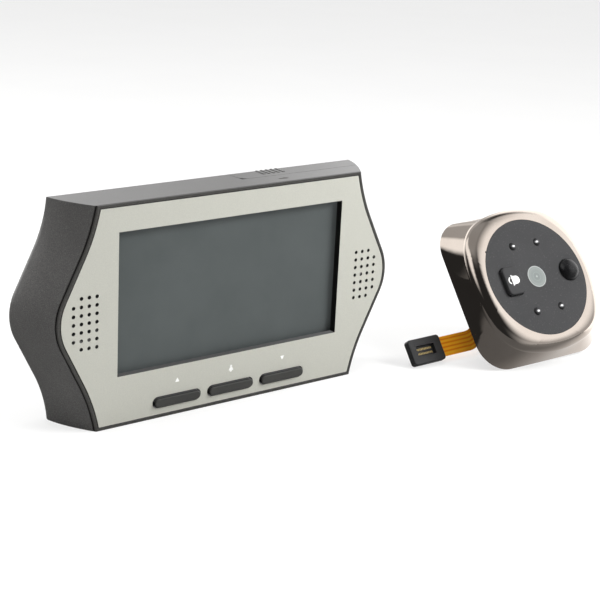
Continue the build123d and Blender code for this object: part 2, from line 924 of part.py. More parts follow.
def battery_holder():
    """Open tray: two end walls joined by ribs between the cells."""
    height = (bay_bottom_z, bay_top_z - holder_rib)
    end_depth = (holder_front_y, case_depth - case_wall - bay_land - seat_gap)
    tray = bar((holder_left, holder_left + holder_end_wall), end_depth, height)
    tray += bar((holder_right - holder_end_wall, holder_right), end_depth, height)
    rib_depth = (holder_front_y, holder_front_y + holder_rib_depth)
    ribs = bar((holder_left, holder_right), rib_depth, height)
    for z in cell_zs():
        ribs -= Pos(0, cell_y, z) * Rot(0, 90, 0) * Cylinder(cell_radius + seat_gap, 4 * cell_length)
    return tray + ribs


def battery_plates():
    """Flat contacts at the right ends of the cells."""
    x = holder_right - holder_end_wall
    half = contact_size / 2
    plates = []
    for z in cell_zs():
        across = (cell_y - half, cell_y + half)
        plates.append(bar((x - contact_thickness, x), across, (z - half, z + half)))
    return plates


def battery_springs():
    """Bent leaf contacts at the left ends of the cells."""
    x = holder_left + holder_end_wall
    half = contact_size / 2
    springs = []
    for z in cell_zs():
        outline = Polyline(
            (x, cell_y - half),
            (x + contact_thickness, cell_y - half),
            (x + contact_leaf_reach + contact_thickness, cell_y),
            (x + contact_thickness, cell_y + half),
            (x, cell_y + half),
            close=True,
        )
        leaf = extrude(Pos(0, 0, z - half / 2) * make_face(outline), amount=half)
        springs.append(leaf)
    return springs


# Camera unit outlines: square outlines made of eight arcs, from a circle to a rounded square
def soft_square(half, diagonal, corner):
    """A face whose half-size is half on the axes and diagonal at 45 degrees."""
    centre = (diagonal - corner) * diagonal_share
    spare = half - corner - centre
    side_radius = (centre**2 + (half - centre) ** 2 - corner**2) / (2 * spare)
    side_centre = half - side_radius
    span = sqrt((centre - side_centre) ** 2 + centre**2)
    joint = (side_centre + side_radius * (centre - side_centre) / span, side_radius * centre / span)
    tip = diagonal * diagonal_share
    side = ThreePointArc((joint[0], -joint[1]), (half, 0), joint)
    turn = ThreePointArc(joint, (tip, tip), (joint[1], joint[0]))
    edges = []
    for quarter in range(4):
        turned_by = Rot(0, 0, 90 * quarter)
        edges.append(turned_by * side)
        edges.append(turned_by * turn)
    return make_face(Wire.combine(edges, tol=soft_square_limit / 100)[0])


def body_diagonal(half, corner):
    """Half the diagonal of a rounded square, eased a little so that its sides bow."""
    return half / diagonal_share - corner * (1 / diagonal_share - 1) - soft_square_limit


def bezel_section(angle, inset):
    """One section of the domed bezel: a circle at the face, the square lip at the back."""
    turn = sin(radians(angle))
    half = face_radius + (lip_half - face_radius) * turn - inset
    diagonal = face_radius + (lip_diagonal - face_radius) * turn - inset
    corner = face_radius + (lip_corner_radius - face_radius) * turn - inset
    y = lip_depth * (1 - cos(radians(angle)))
    return front_plane(y) * soft_square(half, diagonal, corner)


def post_places():
    place = post_ring_radius * diagonal_share
    return [(side * place, level * place) for side in (-1, 1) for level in (-1, 1)]


def camera_bezel():
    """Plated ring that domes from the round face down to a square lip, with posts for the board."""
    bezel = loft([bezel_section(angle, 0) for angle in dome_angles])
    seat = disc_thickness + bezel_ledge_depth
    inner = soft_square(lip_half - bezel_wall, lip_diagonal - bezel_wall, lip_corner_radius - bezel_wall)
    bezel -= run_back(inner, seat, lip_depth)
    in_ledge = seat - bezel_ledge_depth / 2
    bezel += [rod(x, z, in_ledge, camera_board_y - in_ledge, post_radius) for x, z in post_places()]
    bezel -= rod(0, 0, -cut_over, cut_over + disc_thickness, face_radius)
    bezel -= rod(0, 0, 0, lip_depth + cut_over, face_radius - bezel_ledge)
    bezel -= [rod(x, z, seat, camera_board_y, post_hole_radius) for x, z in post_places()]
    notch_x = face_radius * cos(radians(bezel_notch_angle))
    notch_z = face_radius * sin(radians(bezel_notch_angle))
    return bezel - rod(notch_x, notch_z, -cut_over, cut_over + disc_thickness, bezel_notch_radius)


def back_post_places():
    return [(side * back_post_place, level * back_post_place) for side in (-1, 1) for level in (-1, 1)]


def body_form(inset, front, back):
    """The housing from the square lip back to a squarer outline with tighter corners."""
    front_half = lip_half - body_step - inset
    front_diagonal = lip_diagonal - body_step - inset
    sections = []
    for share, y in ((0.0, front), (0.5, (front + back) / 2), (1.0, back)):
        half = front_half + (body_half - inset - front_half) * share
        corner = lip_corner_radius + (body_corner_radius - lip_corner_radius) * share - inset
        back_diagonal = body_diagonal(body_half - inset, body_corner_radius - inset)
        diagonal = front_diagonal + (back_diagonal - front_diagonal) * share
        sections.append(front_plane(y) * soft_square(half, diagonal, corner))
    return loft(sections)


body_front = lip_depth + body_gap
cavity_front = body_front + body_tongue_depth


def camera_body():
    """Metal housing behind the bezel: a tongue centres the bezel, posts take the back screws."""
    front = body_front
    body = body_form(0, front, body_depth)
    tongue = bezel_wall + body_tongue_gap
    inner = tongue + body_tongue_wall
    ring = soft_square(lip_half - tongue, lip_diagonal - tongue, lip_corner_radius - tongue)
    body += run_back(ring, front - body_tongue_depth, 2 * body_tongue_depth)
    hollow = soft_square(lip_half - inner, lip_diagonal - inner, lip_corner_radius - inner)
    body -= run_back(hollow, 0, body_depth)
    body -= body_form(body_wall, cavity_front, body_depth)
    post_back = body_depth - back_plate_thickness - seat_gap
    cavity = body_form(body_wall / 2, front, body_depth)
    for x, z in back_post_places():
        post = rod(x, z, back_post_front_y, post_back - back_post_front_y, back_post_radius)
        web_x = (x, x + back_post_web) if x > 0 else (x - back_post_web, x)
        web_z = (z, z + back_post_web) if z > 0 else (z - back_post_web, z)
        web = bar(web_x, (back_post_front_y, post_back), web_z)
        body += (post + web) & cavity
    hole = screw_radius + board_screw_clearance
    for x, z in back_post_places():
        body -= rod(x, z, back_post_front_y + cut_over / 2, body_depth, hole)
    return body


def face_disc():
    """Glossy round face with holes for the window, lamps, motion lens and bell button."""
    disc = rod(0, 0, 0, disc_thickness, face_radius - disc_gap)
    through = disc_thickness + 2 * cut_over
    disc -= rod(0, 0, -cut_over, through, window_radius + window_gap)
    disc -= [rod(x, z, -cut_over, through, led_radius + led_hole_gap) for x, z in led_places()]
    disc -= rod(pir_x, 0, -cut_over, through, pir_radius + led_hole_gap)
    opening = bell_outline(bell_clearance)
    return disc - run_back(opening, -cut_over, through, bell_x, 0)


def led_places():
    return [(side * led_x, level * led_z) for side in (-1, 1) for level in (-1, 1)]


def bell_outline(grow):
    return RectangleRounded(bell_width + 2 * grow, bell_height + 2 * grow, bell_corner + grow)


def lens_window():
    return rod(0, 0, 0, window_thickness, window_radius)


def infrared_lamps():
    """Clear round lamps whose domes stand just out of the face, on two leads each."""
    top = disc_thickness + seat_gap
    lead_length = board_back + lead_radius - top
    lamps = []
    for x, z in led_places():
        lamp = rod(0, 0, top, led_body_length, led_radius)
        lamp += rod(0, 0, top, led_flange_thickness, led_flange_radius)
        lamp += rod(0, 0, 0, top + led_flange_thickness, led_radius)
        dome = scale(Sphere(led_radius), by=(1, led_dome_rise / led_radius, 1))
        lamp += dome
        for side in (-1, 1):
            lamp += rod(side * lead_spread, 0, top, lead_length, lead_radius)
        lamps.append(Pos(x, 0, z) * lamp)
    return lamps


def pir_dome():
    """Domed lens of the motion sensor: a thin shell with a flange behind the face."""
    outer = scale(Sphere(pir_radius), by=(1, pir_rise / pir_radius, 1))
    outer += rod(0, 0, 0, disc_thickness + seat_gap, pir_radius)
    flange_front = disc_thickness + seat_gap
    across = (-pir_radius, pir_radius)
    outer -= bar(across, (flange_front, disc_thickness + pir_radius), across)
    outer += rod(0, 0, flange_front, pir_flange_thickness, pir_radius + pir_flange)
    inner_radius = pir_radius - pir_wall
    inner = scale(Sphere(inner_radius), by=(1, (pir_rise - pir_wall) / inner_radius, 1))
    inner += rod(0, 0, 0, disc_thickness + cut_over, inner_radius)
    return Pos(pir_x, 0, 0) * (outer - inner)


def pir_sensor():
    """Round metal sensor can with a window recess, seated on the board."""
    top = camera_board_y - sensor_can_height
    can = rod(0, 0, top, sensor_can_height, sensor_can_radius)
    can = fillet(can.faces().sort_by(Axis.Y)[0].edges(), sensor_can_round)
    window = Rectangle(sensor_can_radius, sensor_can_radius)
    return Pos(pir_x, 0, 0) * (can - run_back(window, top - cut_over, cut_over + contact_thickness))


bell_flange_front = disc_thickness + bell_flange_gap
bell_flange_back = bell_flange_front + bell_flange_thickness
bell_switch_front = bell_flange_back + bell_travel + bell_flange_gap
bell_switch_thickness = camera_board_y - bell_switch_front


def bell_button():
    """Bell button cap with rounded rim and a flange that holds it behind the face."""
    cap = run_back(bell_outline(0), -bell_rise, bell_rise + bell_flange_back, bell_x, 0)
    cap = fillet(cap.faces().sort_by(Axis.Y)[0].edges(), bell_edge_round)
    return cap + run_back(bell_outline(bell_flange), bell_flange_front, bell_flange_thickness, bell_x, 0)


def bell_plunger():
    length = bell_switch_front + bell_plunger_insert - bell_flange_back
    return rod(bell_x, 0, bell_flange_back, length, bell_plunger_radius)


def bell_switch():
    outline = RectangleRounded(bell_switch_size, bell_switch_size, bell_switch_floor)
    body = run_back(outline, bell_switch_front, bell_switch_thickness, bell_x, 0)
    depth = bell_switch_thickness - bell_switch_floor
    return body - rod(bell_x, 0, bell_switch_front, depth, bell_plunger_radius + bell_plunger_gap)


def camera_board():
    """Round board behind the face, with holes for its screws and the lamps' leads."""
    board = rod(0, 0, camera_board_y, camera_board_thickness, camera_board_radius)
    through = camera_board_thickness + 2 * cut_over
    hole = post_hole_radius + board_screw_clearance
    board -= [rod(x, z, camera_board_y - cut_over, through, hole) for x, z in post_places()]
    for x, z in led_places():
        for side in (-1, 1):
            lead_x = x + side * lead_spread
            board -= rod(lead_x, z, camera_board_y - cut_over, through, lead_radius + window_gap)
    return board


def board_screws():
    """Screws that hold the board to the bezel's posts."""
    back = board_back
    screws = []
    for x, z in post_places():
        screw = rod(x, z, back - board_screw_length, board_screw_length, post_hole_radius - window_gap)
        screws.append(screw + rod(x, z, back, board_screw_head_height, board_screw_head_radius))
    return screws


def lens_holder():
    """Square holder on the board round the image sensor, bored for the lens barrel."""
    outline = RectangleRounded(holder_size, holder_size, holder_corner)
    front = camera_board_y - holder_height
    body = run_back(outline, front, holder_height)
    body -= rod(0, 0, front - cut_over, holder_height + 2 * cut_over, holder_bore_radius)
    inner = Rectangle(sensor_size + 2 * seat_gap, sensor_size + 2 * seat_gap)
    return body - run_back(inner, camera_board_y - sensor_thickness, sensor_thickness)


def lens_barrel():
    """Lens barrel with a wide mouth, which screws into the holder."""
    bottom = camera_board_y - sensor_thickness - seat_gap
    barrel = rod(0, 0, barrel_top_y, bottom - barrel_top_y, barrel_radius)
    bore_depth = bottom - barrel_floor - barrel_top_y
    barrel -= rod(0, 0, barrel_top_y - cut_over, bore_depth + cut_over, barrel_bore_radius)
    return barrel - rod(0, 0, barrel_top_y, bottom, barrel_bore_radius / 2)


def lens_element():
    """Front lens: a glass button with a domed front, in the barrel's mouth."""
    dome = scale(Sphere(lens_radius), by=(1, lens_rise / lens_radius, 1))
    return Pos(0, barrel_top_y + lens_rise + seat_gap, 0) * dome


def image_sensor():
    front = camera_board_y - sensor_thickness
    return run_back(Rectangle(sensor_size, sensor_size), front, sensor_thickness)


def stud_places():
    return [(0.0, side * stud_spacing / 2) for side in (-1, 1)]


def back_plate():
    """Plate that closes the housing: screw recesses, two stud holes and the ribbon's slot."""
    front = body_depth - back_plate_thickness
    gap = body_wall + back_plate_gap
    plate = body_form(gap, cavity_front, body_depth)
    reach = body_half
    plate = plate & bar((-reach, reach), (front, body_depth), (-reach, reach))
    through = back_plate_thickness + 2 * cut_over
    recess_front = body_depth - back_screw_recess
    recess_radius = back_screw_head_radius + board_screw_clearance
    for x, z in back_post_places():
        plate -= rod(x, z, front - cut_over, through, screw_radius + board_screw_clearance)
        plate -= rod(x, z, recess_front, cut_over, recess_radius)
    stud_hole = stud_radius + stud_clearance
    plate -= [rod(x, z, front - cut_over, through, stud_hole) for x, z in stud_places()]
    slot_width = ribbon_thickness + 2 * ribbon_slot_gap
    slot_height = ribbon_width + 2 * ribbon_slot_gap
    slot = RectangleRounded(slot_width, slot_height, ribbon_slot_gap)
    return plate - run_back(slot, front - cut_over, through, ribbon_x, 0)


def back_screws():
    """Cross-head screws that hold the back plate to the body's posts."""
    head_front = body_depth - back_screw_recess
    cross_front = head_front + back_screw_head_height / 2
    cross = cross_recess(back_screw_head_radius, cross_front, body_depth)
    screws = []
    for x, z in back_post_places():
        screw = rod(x, z, head_front - back_screw_length, back_screw_length, screw_radius)
        screw += rod(x, z, head_front, back_screw_head_height, back_screw_head_radius)
        screws.append(screw - Pos(x, 0, z) * cross)
    return screws


# Where the camera unit meets the table
lean = radians(camera_lean)
roll = radians(camera_roll)
straight_half = body_half - body_corner_radius
support = straight_half * (sin(roll) + cos(roll)) + body_corner_radius
camera_height = body_depth * sin(lean) + support * cos(lean) + stud_floor_gap
camera_place = (
    Pos(camera_x, camera_y - case_depth / 2, camera_height)
    * Rot(0, 0, camera_yaw)
    * Rot(-camera_lean, 0, 0)
    * Rot(0, -camera_roll, 0)
)


def table_depth(x, z):
    """How far behind the face a line at x, z of the camera unit meets the table."""
    return (camera_height + cos(lean) * (x * sin(roll) + z * cos(roll))) / sin(lean)


stud_level = stud_spacing / 2 + stud_radius / cos(roll)
stud_end_y = table_depth(0, -stud_level) - stud_floor_gap / sin(lean)


def mounting_studs():
    """Two long studs that pass through the door, each with a bare neck in the back plate."""
    head_front = body_depth - back_plate_thickness - stud_head_thickness
    thread_front = body_depth + stud_neck_reach
    studs = []
    for x, z in stud_places():
        stud = rod(x, z, thread_front, stud_end_y - thread_front, stud_radius)
        stud = chamfer(stud.faces().sort_by(Axis.Y)[-1].edges(), stud_chamfer)
        stud += rod(x, z, head_front, thread_front - head_front, stud_neck_radius)
        head = RegularPolygon(stud_head_radius, side_count=6)
        studs.append(stud + run_back(head, head_front, stud_head_thickness, x, z))
    return studs


# Ribbon cable: out of the back plate, round a bend, then a jogged run to its plug
plug_middle_y = table_depth(plug_left, ribbon_z - plug_height / 2) - plug_thickness / 2 - plug_floor_gap
ribbon_start_y = board_back + ribbon_socket_thickness - ribbon_insert


def ribbon_cable():
    """Flat flexible cable, cut with a diagonal jog, which leaves the slot and turns left."""
    half = ribbon_width / 2
    thick = ribbon_thickness / 2
    straight_end = plug_middle_y - ribbon_bend_radius
    stub = bar((ribbon_x - thick, ribbon_x + thick), (ribbon_start_y, straight_end), (-half, half))
    centre = (ribbon_x - ribbon_bend_radius, straight_end)
    outer_radius = ribbon_bend_radius + thick
    inner_radius = ribbon_bend_radius - thick
    ring = Circle(outer_radius) - Circle(inner_radius)
    quarter = ring & (Pos(outer_radius / 2, outer_radius / 2) * Rectangle(outer_radius, outer_radius))
    bend = extrude(Pos(centre[0], centre[1], -half) * quarter, amount=ribbon_width)
    corners = (
        (centre[0], half),
        (ribbon_jog_start, half),
        (ribbon_jog_end, ribbon_z + half),
        (plug_right - plug_insert, ribbon_z + half),
        (plug_right - plug_insert, ribbon_z - half),
        (ribbon_jog_end - thick, ribbon_z - half),
        (ribbon_jog_start - thick, -half),
        (centre[0], -half),
    )
    flat = run_back(make_face(Polyline(*corners, close=True)), plug_middle_y - thick, ribbon_thickness)
    return stub + bend + flat


def ribbon_socket():
    """Socket on the back of the camera board that grips the cable's end."""
    front = board_back
    outline = Rectangle(ribbon_socket_width, ribbon_socket_height)
    block = run_back(outline, front, ribbon_socket_thickness, ribbon_x, 0)
    slot = Rectangle(ribbon_thickness + 2 * grip_gap, ribbon_width + 2 * grip_gap)
    return block - run_back(slot, ribbon_start_y - grip_gap, ribbon_socket_thickness, ribbon_x, 0)


def ribbon_plug():
    """Plug housing with rounded corners and a well for two rows of contacts."""
    length = plug_right - plug_left
    middle = (plug_left + plug_right) / 2
    front = plug_middle_y - plug_thickness / 2
    outline = RectangleRounded(length, plug_height, plug_round)
    plug = run_back(outline, front, plug_thickness, middle, ribbon_z)
    plug = fillet(plug.faces().filter_by(Axis.Y).edges(), plug_edge_round)
    well = RectangleRounded(plug_well_width, plug_well_height, plug_edge_round)
    plug -= run_back(well, front - cut_over, cut_over + plug_well_depth, plug_well_x, ribbon_z)
    thick = ribbon_thickness / 2 + grip_gap
    half = ribbon_width / 2 + grip_gap
    slot_x = (plug_right - plug_insert - grip_gap, plug_right + cut_over)
    slot_y = (plug_middle_y - thick, plug_middle_y + thick)
    return plug - bar(slot_x, slot_y, (ribbon_z - half, ribbon_z + half))


def plug_contacts():
    """Two rows of gold contacts on the floor of the plug's well."""
    floor = plug_middle_y - plug_thickness / 2 + plug_well_depth
    contacts = []
    for row in (-1, 1):
        for index in range(contact_pairs):
            x = plug_well_x + (index - (contact_pairs - 1) / 2) * contact_pitch
            z = ribbon_z + row * contact_row_spacing / 2
            half = contact_width / 2
            reach = contact_length / 2
            across = (x - half, x + half)
            contacts.append(bar(across, (floor - contact_rise, floor), (z - reach, z + reach)))
    return contacts


# Save the monitor's pieces
save(monitor_place, "rear_case", rear_case())
save(monitor_place, "front_frame", front_frame())
save(monitor_place, "face_plate", face_plate())
save(monitor_place, "lcd_tray", lcd_tray())
save(monitor_place, "lcd_panel", lcd_panel())
save(monitor_place, "lcd_backlight", lcd_backlight())
save(monitor_place, "main_board", main_board())
save(monitor_place, "board_shield", board_shield())
save(monitor_place, "board_chips", *board_chips())
save(monitor_place, "camera_socket", camera_socket())
save(monitor_place, "card_slot", card_slot())
save(monitor_place, "memory_card", memory_card())
save(monitor_place, "usb_port", usb_port())
save(monitor_place, "speaker", speaker())
save(monitor_place, "microphone", microphone())
save(monitor_place, "key_board", key_board())
save(monitor_place, "key_switches", *key_switches())
for key_name, key_x in zip(("up", "call", "down"), key_xs()):
    save(monitor_place, f"{key_name}_key", Pos(key_x, 0, key_z) * key_cap())
    save(monitor_place, f"{key_name}_key_plunger", Pos(key_x, 0, key_z) * key_plunger())
save(monitor_place, "battery_holder", battery_holder())
save(monitor_place, "battery_cells", *battery_cells())
save(monitor_place, "battery_plates", *battery_plates())
save(monitor_place, "battery_springs", *battery_springs())
save(monitor_place, "battery_cover", battery_cover())
save(monitor_place, "case_screws", *case_screws())

# Save the camera unit's pieces
save(camera_place, "camera_bezel", camera_bezel())
save(camera_place, "camera_body", camera_body())
save(camera_place, "face_disc", face_disc())
save(camera_place, "lens_window", lens_window())
save(camera_place, "infrared_lamps", *infrared_lamps())
save(camera_place, "pir_dome", pir_dome())
save(camera_place, "pir_sensor", pir_sensor())
save(camera_place, "bell_button", bell_button())
save(camera_place, "bell_plunger", bell_plunger())
save(camera_place, "bell_switch", bell_switch())
save(camera_place, "camera_board", camera_board())
save(camera_place, "board_screws", *board_screws())
save(camera_place, "lens_holder", lens_holder())
save(camera_place, "lens_barrel", lens_barrel())
save(camera_place, "lens_element", lens_element())
save(camera_place, "image_sensor", image_sensor())
save(camera_place, "back_plate", back_plate())
save(camera_place, "back_screws", *back_screws())
save(camera_place, "mounting_studs", *mounting_studs())
save(camera_place, "ribbon_socket", ribbon_socket())
save(camera_place, "ribbon_cable", ribbon_cable())
save(camera_place, "ribbon_plug", ribbon_plug())
save(camera_place, "plug_contacts", *plug_contacts())
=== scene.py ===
from math import cos, pi, radians, sin

import bmesh
import bpy
from mathutils import Euler, Matrix, Vector


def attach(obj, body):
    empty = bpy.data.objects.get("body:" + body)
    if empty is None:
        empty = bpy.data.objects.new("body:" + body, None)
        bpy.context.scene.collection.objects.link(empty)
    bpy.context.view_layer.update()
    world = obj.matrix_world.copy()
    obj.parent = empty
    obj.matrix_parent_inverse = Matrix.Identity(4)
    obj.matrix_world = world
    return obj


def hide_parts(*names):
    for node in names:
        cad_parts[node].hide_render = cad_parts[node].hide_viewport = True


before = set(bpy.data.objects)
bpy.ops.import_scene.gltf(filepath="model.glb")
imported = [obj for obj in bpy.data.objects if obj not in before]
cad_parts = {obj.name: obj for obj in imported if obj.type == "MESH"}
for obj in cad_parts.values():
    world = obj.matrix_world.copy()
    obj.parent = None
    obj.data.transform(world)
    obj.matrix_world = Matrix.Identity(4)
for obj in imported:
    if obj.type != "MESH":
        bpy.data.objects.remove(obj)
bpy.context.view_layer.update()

# Door viewer set: materials, printed marks, threads and the ribbon cable. Millimetres
# become metres by MM. The outdoor unit's own frame has its origin in the middle of the
# round face, x towards the motion sensor, y into the unit and z up along the face.
MM = 0.001
UNIT_PLACE = Vector((140.4, -31.95, 35.086)) * MM
UNIT_YAW = radians(-3.85)
UNIT_LEAN = radians(-37.3)
UNIT_ROLL = radians(-2.1)
UNIT = (
    Matrix.Translation(UNIT_PLACE)
    @ Matrix.Rotation(UNIT_YAW, 4, "Z")
    @ Matrix.Rotation(UNIT_LEAN, 4, "X")
    @ Matrix.Rotation(UNIT_ROLL, 4, "Y")
)
# All of the monitor lies left of this place
UNIT_LEFT = 100 * MM

# The monitor's own frame: the middle of its front plane, x right, y back, z up
MONITOR_FRONT = -10.85 * MM
MONITOR_MIDDLE = 41.8 * MM
MONITOR = Matrix.Translation(Vector((0, MONITOR_FRONT, MONITOR_MIDDLE)))
# A wall faces inwards where its arm from the middle, dotted with its normal, is below this
INWARD_LIMIT = -3 * MM

# Camera at the photograph's viewing angle: metres, degrees, focal length over image width
CAMERA_PLACE = (-0.32225, -0.45831, 0.21848)
CAMERA_TURN = (72.2128, -2.7876, -37.4458)
FOCAL_SHARE = 1549.4 / 600
SENSOR = 36.0
CLIP_START = 0.01

# Marks above the keys, in mm: arrows and an upright bell of knob, waist and clapper
KEY_PITCH = 24.2
MARK_Z = -28.35
MARK_THICKNESS = 0.05 * MM
ARROW_HALF = 0.9
ARROW_FOOT_SHARE = 0.8
KNOB_RISE = 0.95
KNOB_RADIUS = 0.5
KNOB_TURN = (0, 340, 14)
WAIST_LIP = ((0.9, -0.75), (1.05, -0.45))
WAIST_FALL = -0.1
WAIST_RADIUS = 0.72
WAIST_TURN = (0, 180, 12)
CLAPPER_FALL = -0.85
CLAPPER_RADIUS = 0.5
CLAPPER_TURN = (180, 360, 10)

# Bell on the outdoor button, in mm from its middle: lip, crown and the ring round the mouth
BELL_X = -14.15
BELL_RISE = 1.8 * MM
BELL_LIP = ((-1.1, -2.45), (-0.4, -1.9), (0.3, -1.75))
CROWN_MIDDLE = 1.1
CROWN_RADIUS = 1.75
CROWN_TURN = (-85, 85, 14)
RING_MIDDLE = -1.25
RING_RADII = (1.7, 1.15)
RING_TURN = (112, 248, 12)

# Arrow on the case's top, beside the battery cover's grip
LOCK_X = 25.0
LOCK_Y = 5.2
LOCK_ARROW = (
    (-2.0, -0.5), (0.6, -0.5), (0.6, -1.1), (2.2, 0),
    (0.6, 1.1), (0.6, 0.5), (-2.0, 0.5),
)

# Infrared lamps: places on the face and radius in mm, and a painted highlight in each, with painted
# shade at the rim
LAMP_X = 6.83
LAMP_Z = 14.62
LAMP_RADIUS = 1.6
LAMP_HIGHLIGHT_OFFSET = 0.25
LAMP_HIGHLIGHT_FLATNESS = 3.2
LAMP_HIGHLIGHT_SHADES = (
    (0.0, (255, 255, 255)),
    (0.28, (236, 236, 236)),
    (0.46, (120, 120, 121)),
    (0.70, (66, 66, 67)),
    (0.86, (48, 48, 49)),
    (1.0, (30, 30, 31)),
)

# Lens window: radius in mm and shades from its middle to its rim, with a painted highlight in the
# middle
WINDOW_RADIUS = 4.7
WINDOW_SHADES_AND_HIGHLIGHT = (
    (0.0, (171, 175, 171)),
    (0.08, (133, 138, 135)),
    (0.15, (109, 115, 113)),
    (0.34, (111, 118, 116)),
    (0.40, (125, 131, 129)),
    (0.46, (115, 122, 120)),
    (0.68, (119, 125, 123)),
    (0.76, (125, 131, 128)),
    (0.84, (119, 125, 123)),
    (0.90, (125, 130, 128)),
    (0.95, (159, 163, 160)),
    (1.0, (143, 147, 144)),
)

# Mounting studs: hexagon heads, bare necks and threads, as deep behind the face as the CAD
STUD_SPACING = 16.0
STUD_HEAD_FRONT = 10.5
STUD_HEAD_BACK = 11.7
STUD_HEAD_RADIUS = 3.0
STUD_HEAD_SIDES = 6
STUD_NECK_RADIUS = 1.7
STUD_THREAD_FRONT = 13.7
STUD_THREAD_BACK = 44.69
STUD_RADIUS = 2.0
STUD_ROOT_RADIUS = 1.62
THREAD_PITCH = 0.7
THREAD_SIDES = 24

# Ribbon cable: its width, thickness and route in the outdoor unit's frame, its copper
# tracks and the shades from film to track
RIBBON_WIDTH = 8.6 * MM
RIBBON_THICKNESS = 0.3 * MM
RIBBON_ROUTE = (
    (-6.0, 9.2, 0.0),
    (-6.0, 18.0, 0.0),
    (-6.0, 27.36, 0.0),
    (-11.0, 27.36, 0.0),
    (-19.5, 27.36, -14.5),
    (-30.5, 27.36, -14.5),
    (-42.4, 27.36, -14.5),
)
RIBBON_STEPS = 10
RIBBON_TRACKS = 5
RIBBON_TRACK_REACH = 0.42
RIBBON_SHADES = (
    (0.0, (255, 192, 52)),
    (0.50, (255, 170, 26)),
    (0.75, (250, 148, 14)),
    (1.0, (230, 122, 6)),
)

# Shades of the plain finishes, dark to light, as sRGB colours
SHADES = {
    "case_paint": ((90, 89, 88), (102, 101, 100), (130, 129, 127)),
    "rim_paint": ((72, 71, 69), (80, 79, 77), (96, 95, 92)),
    "face_plate_metal": ((200, 200, 191), (208, 208, 198)),
    "screen_film": ((78, 83, 83), (83, 88, 88)),
    "key_plastic": ((60, 60, 59), (66, 66, 64)),
    "black_moulding": ((26, 26, 27), (36, 36, 37)),
    "plug_moulding": ((38, 38, 39), (48, 48, 49)),
    "diffuser_film": ((214, 216, 214), (226, 228, 226)),
    "rolled_steel": ((150, 150, 152), (186, 186, 188)),
    "screw_steel": ((150, 150, 150), (180, 180, 180)),
    "spun_aluminium": ((170, 170, 172), (205, 205, 206)),
    "circuit_mask": ((22, 84, 52), (18, 70, 44), (46, 120, 74)),
    "ivory_moulding": ((204, 198, 180), (220, 214, 196)),
    "cell_jacket": ((150, 152, 158), (182, 184, 190)),
    "warm_plating": ((232, 218, 206), (244, 232, 221)),
    "disc_gloss": ((50, 50, 51), (54, 54, 55)),
    "motion_lens": ((16, 16, 17), (24, 24, 25)),
    "bell_gloss": ((42, 42, 43), (48, 48, 49)),
    "contact_gold": ((206, 180, 120), (226, 200, 140)),
    "white_print": ((238, 238, 235), (246, 246, 244)),
    "dark_print": ((64, 62, 60), (74, 72, 70)),
    "pale_floor": ((246, 246, 245), (250, 250, 249)),
}
# Painted shade in gaps, holes and recesses: the depth behind the monitor's front plane past which a
# finish is painted dark, and that dark shade
# Painted shade on the face plate's edges and in its holes and slots
PLATE_EDGE_PAINTED_SHADE = (0.10 * MM, (24, 24, 23))
# Painted shade on all of the rim that lies behind its step at the front
RIM_STEP_PAINTED_SHADE = (0.42 * MM, (22, 22, 21))
# Painted shade on the walls of the rim's recesses that face the middle
RIM_WALLS_PAINTED_SHADE = (0.03 * MM, (26, 26, 25))
# Painted shade on the keys' sides
KEY_SIDES_PAINTED_SHADE = (-0.78 * MM, (14, 14, 14))

# Noise: the range that holds most of it, and the sizes of clouds and grain
NOISE_LOW = 0.3
NOISE_HIGH = 0.7
CLOUD_SCALE = 70.0
CLOUD_DETAIL = 4.0
GRAIN_DETAIL = 2.0
RAMP_MIDDLE = 0.5
# How finely the grain of a brushed metal runs along each axis, per metre
EVEN_GRAIN = (900.0, 900.0, 900.0)
PLATE_GRAIN = (2600.0, 2600.0, 2600.0)
CONTACT_GRAIN = (1500.0, 1500.0, 1500.0)
ROLLED_GRAIN = (60.0, 60.0, 2600.0)
SPUN_GRAIN = (900.0, 60.0, 900.0)
JACKET_GRAIN = (40.0, 900.0, 900.0)

# The sRGB curve
SRGB_FULL = 255
SRGB_KNEE = 0.04045
SRGB_FOOT = 12.92
SRGB_OFFSET = 0.055
SRGB_POWER = 2.4


def linear(red, green, blue, alpha=1.0):
    """An sRGB colour of 0 to 255 as the linear colour that a shader takes."""
    shades = []
    for value in (red, green, blue):
        share = value / SRGB_FULL
        if share <= SRGB_KNEE:
            shades.append(share / SRGB_FOOT)
        else:
            shades.append(((share + SRGB_OFFSET) / (1 + SRGB_OFFSET)) ** SRGB_POWER)
    return (*shades, alpha)


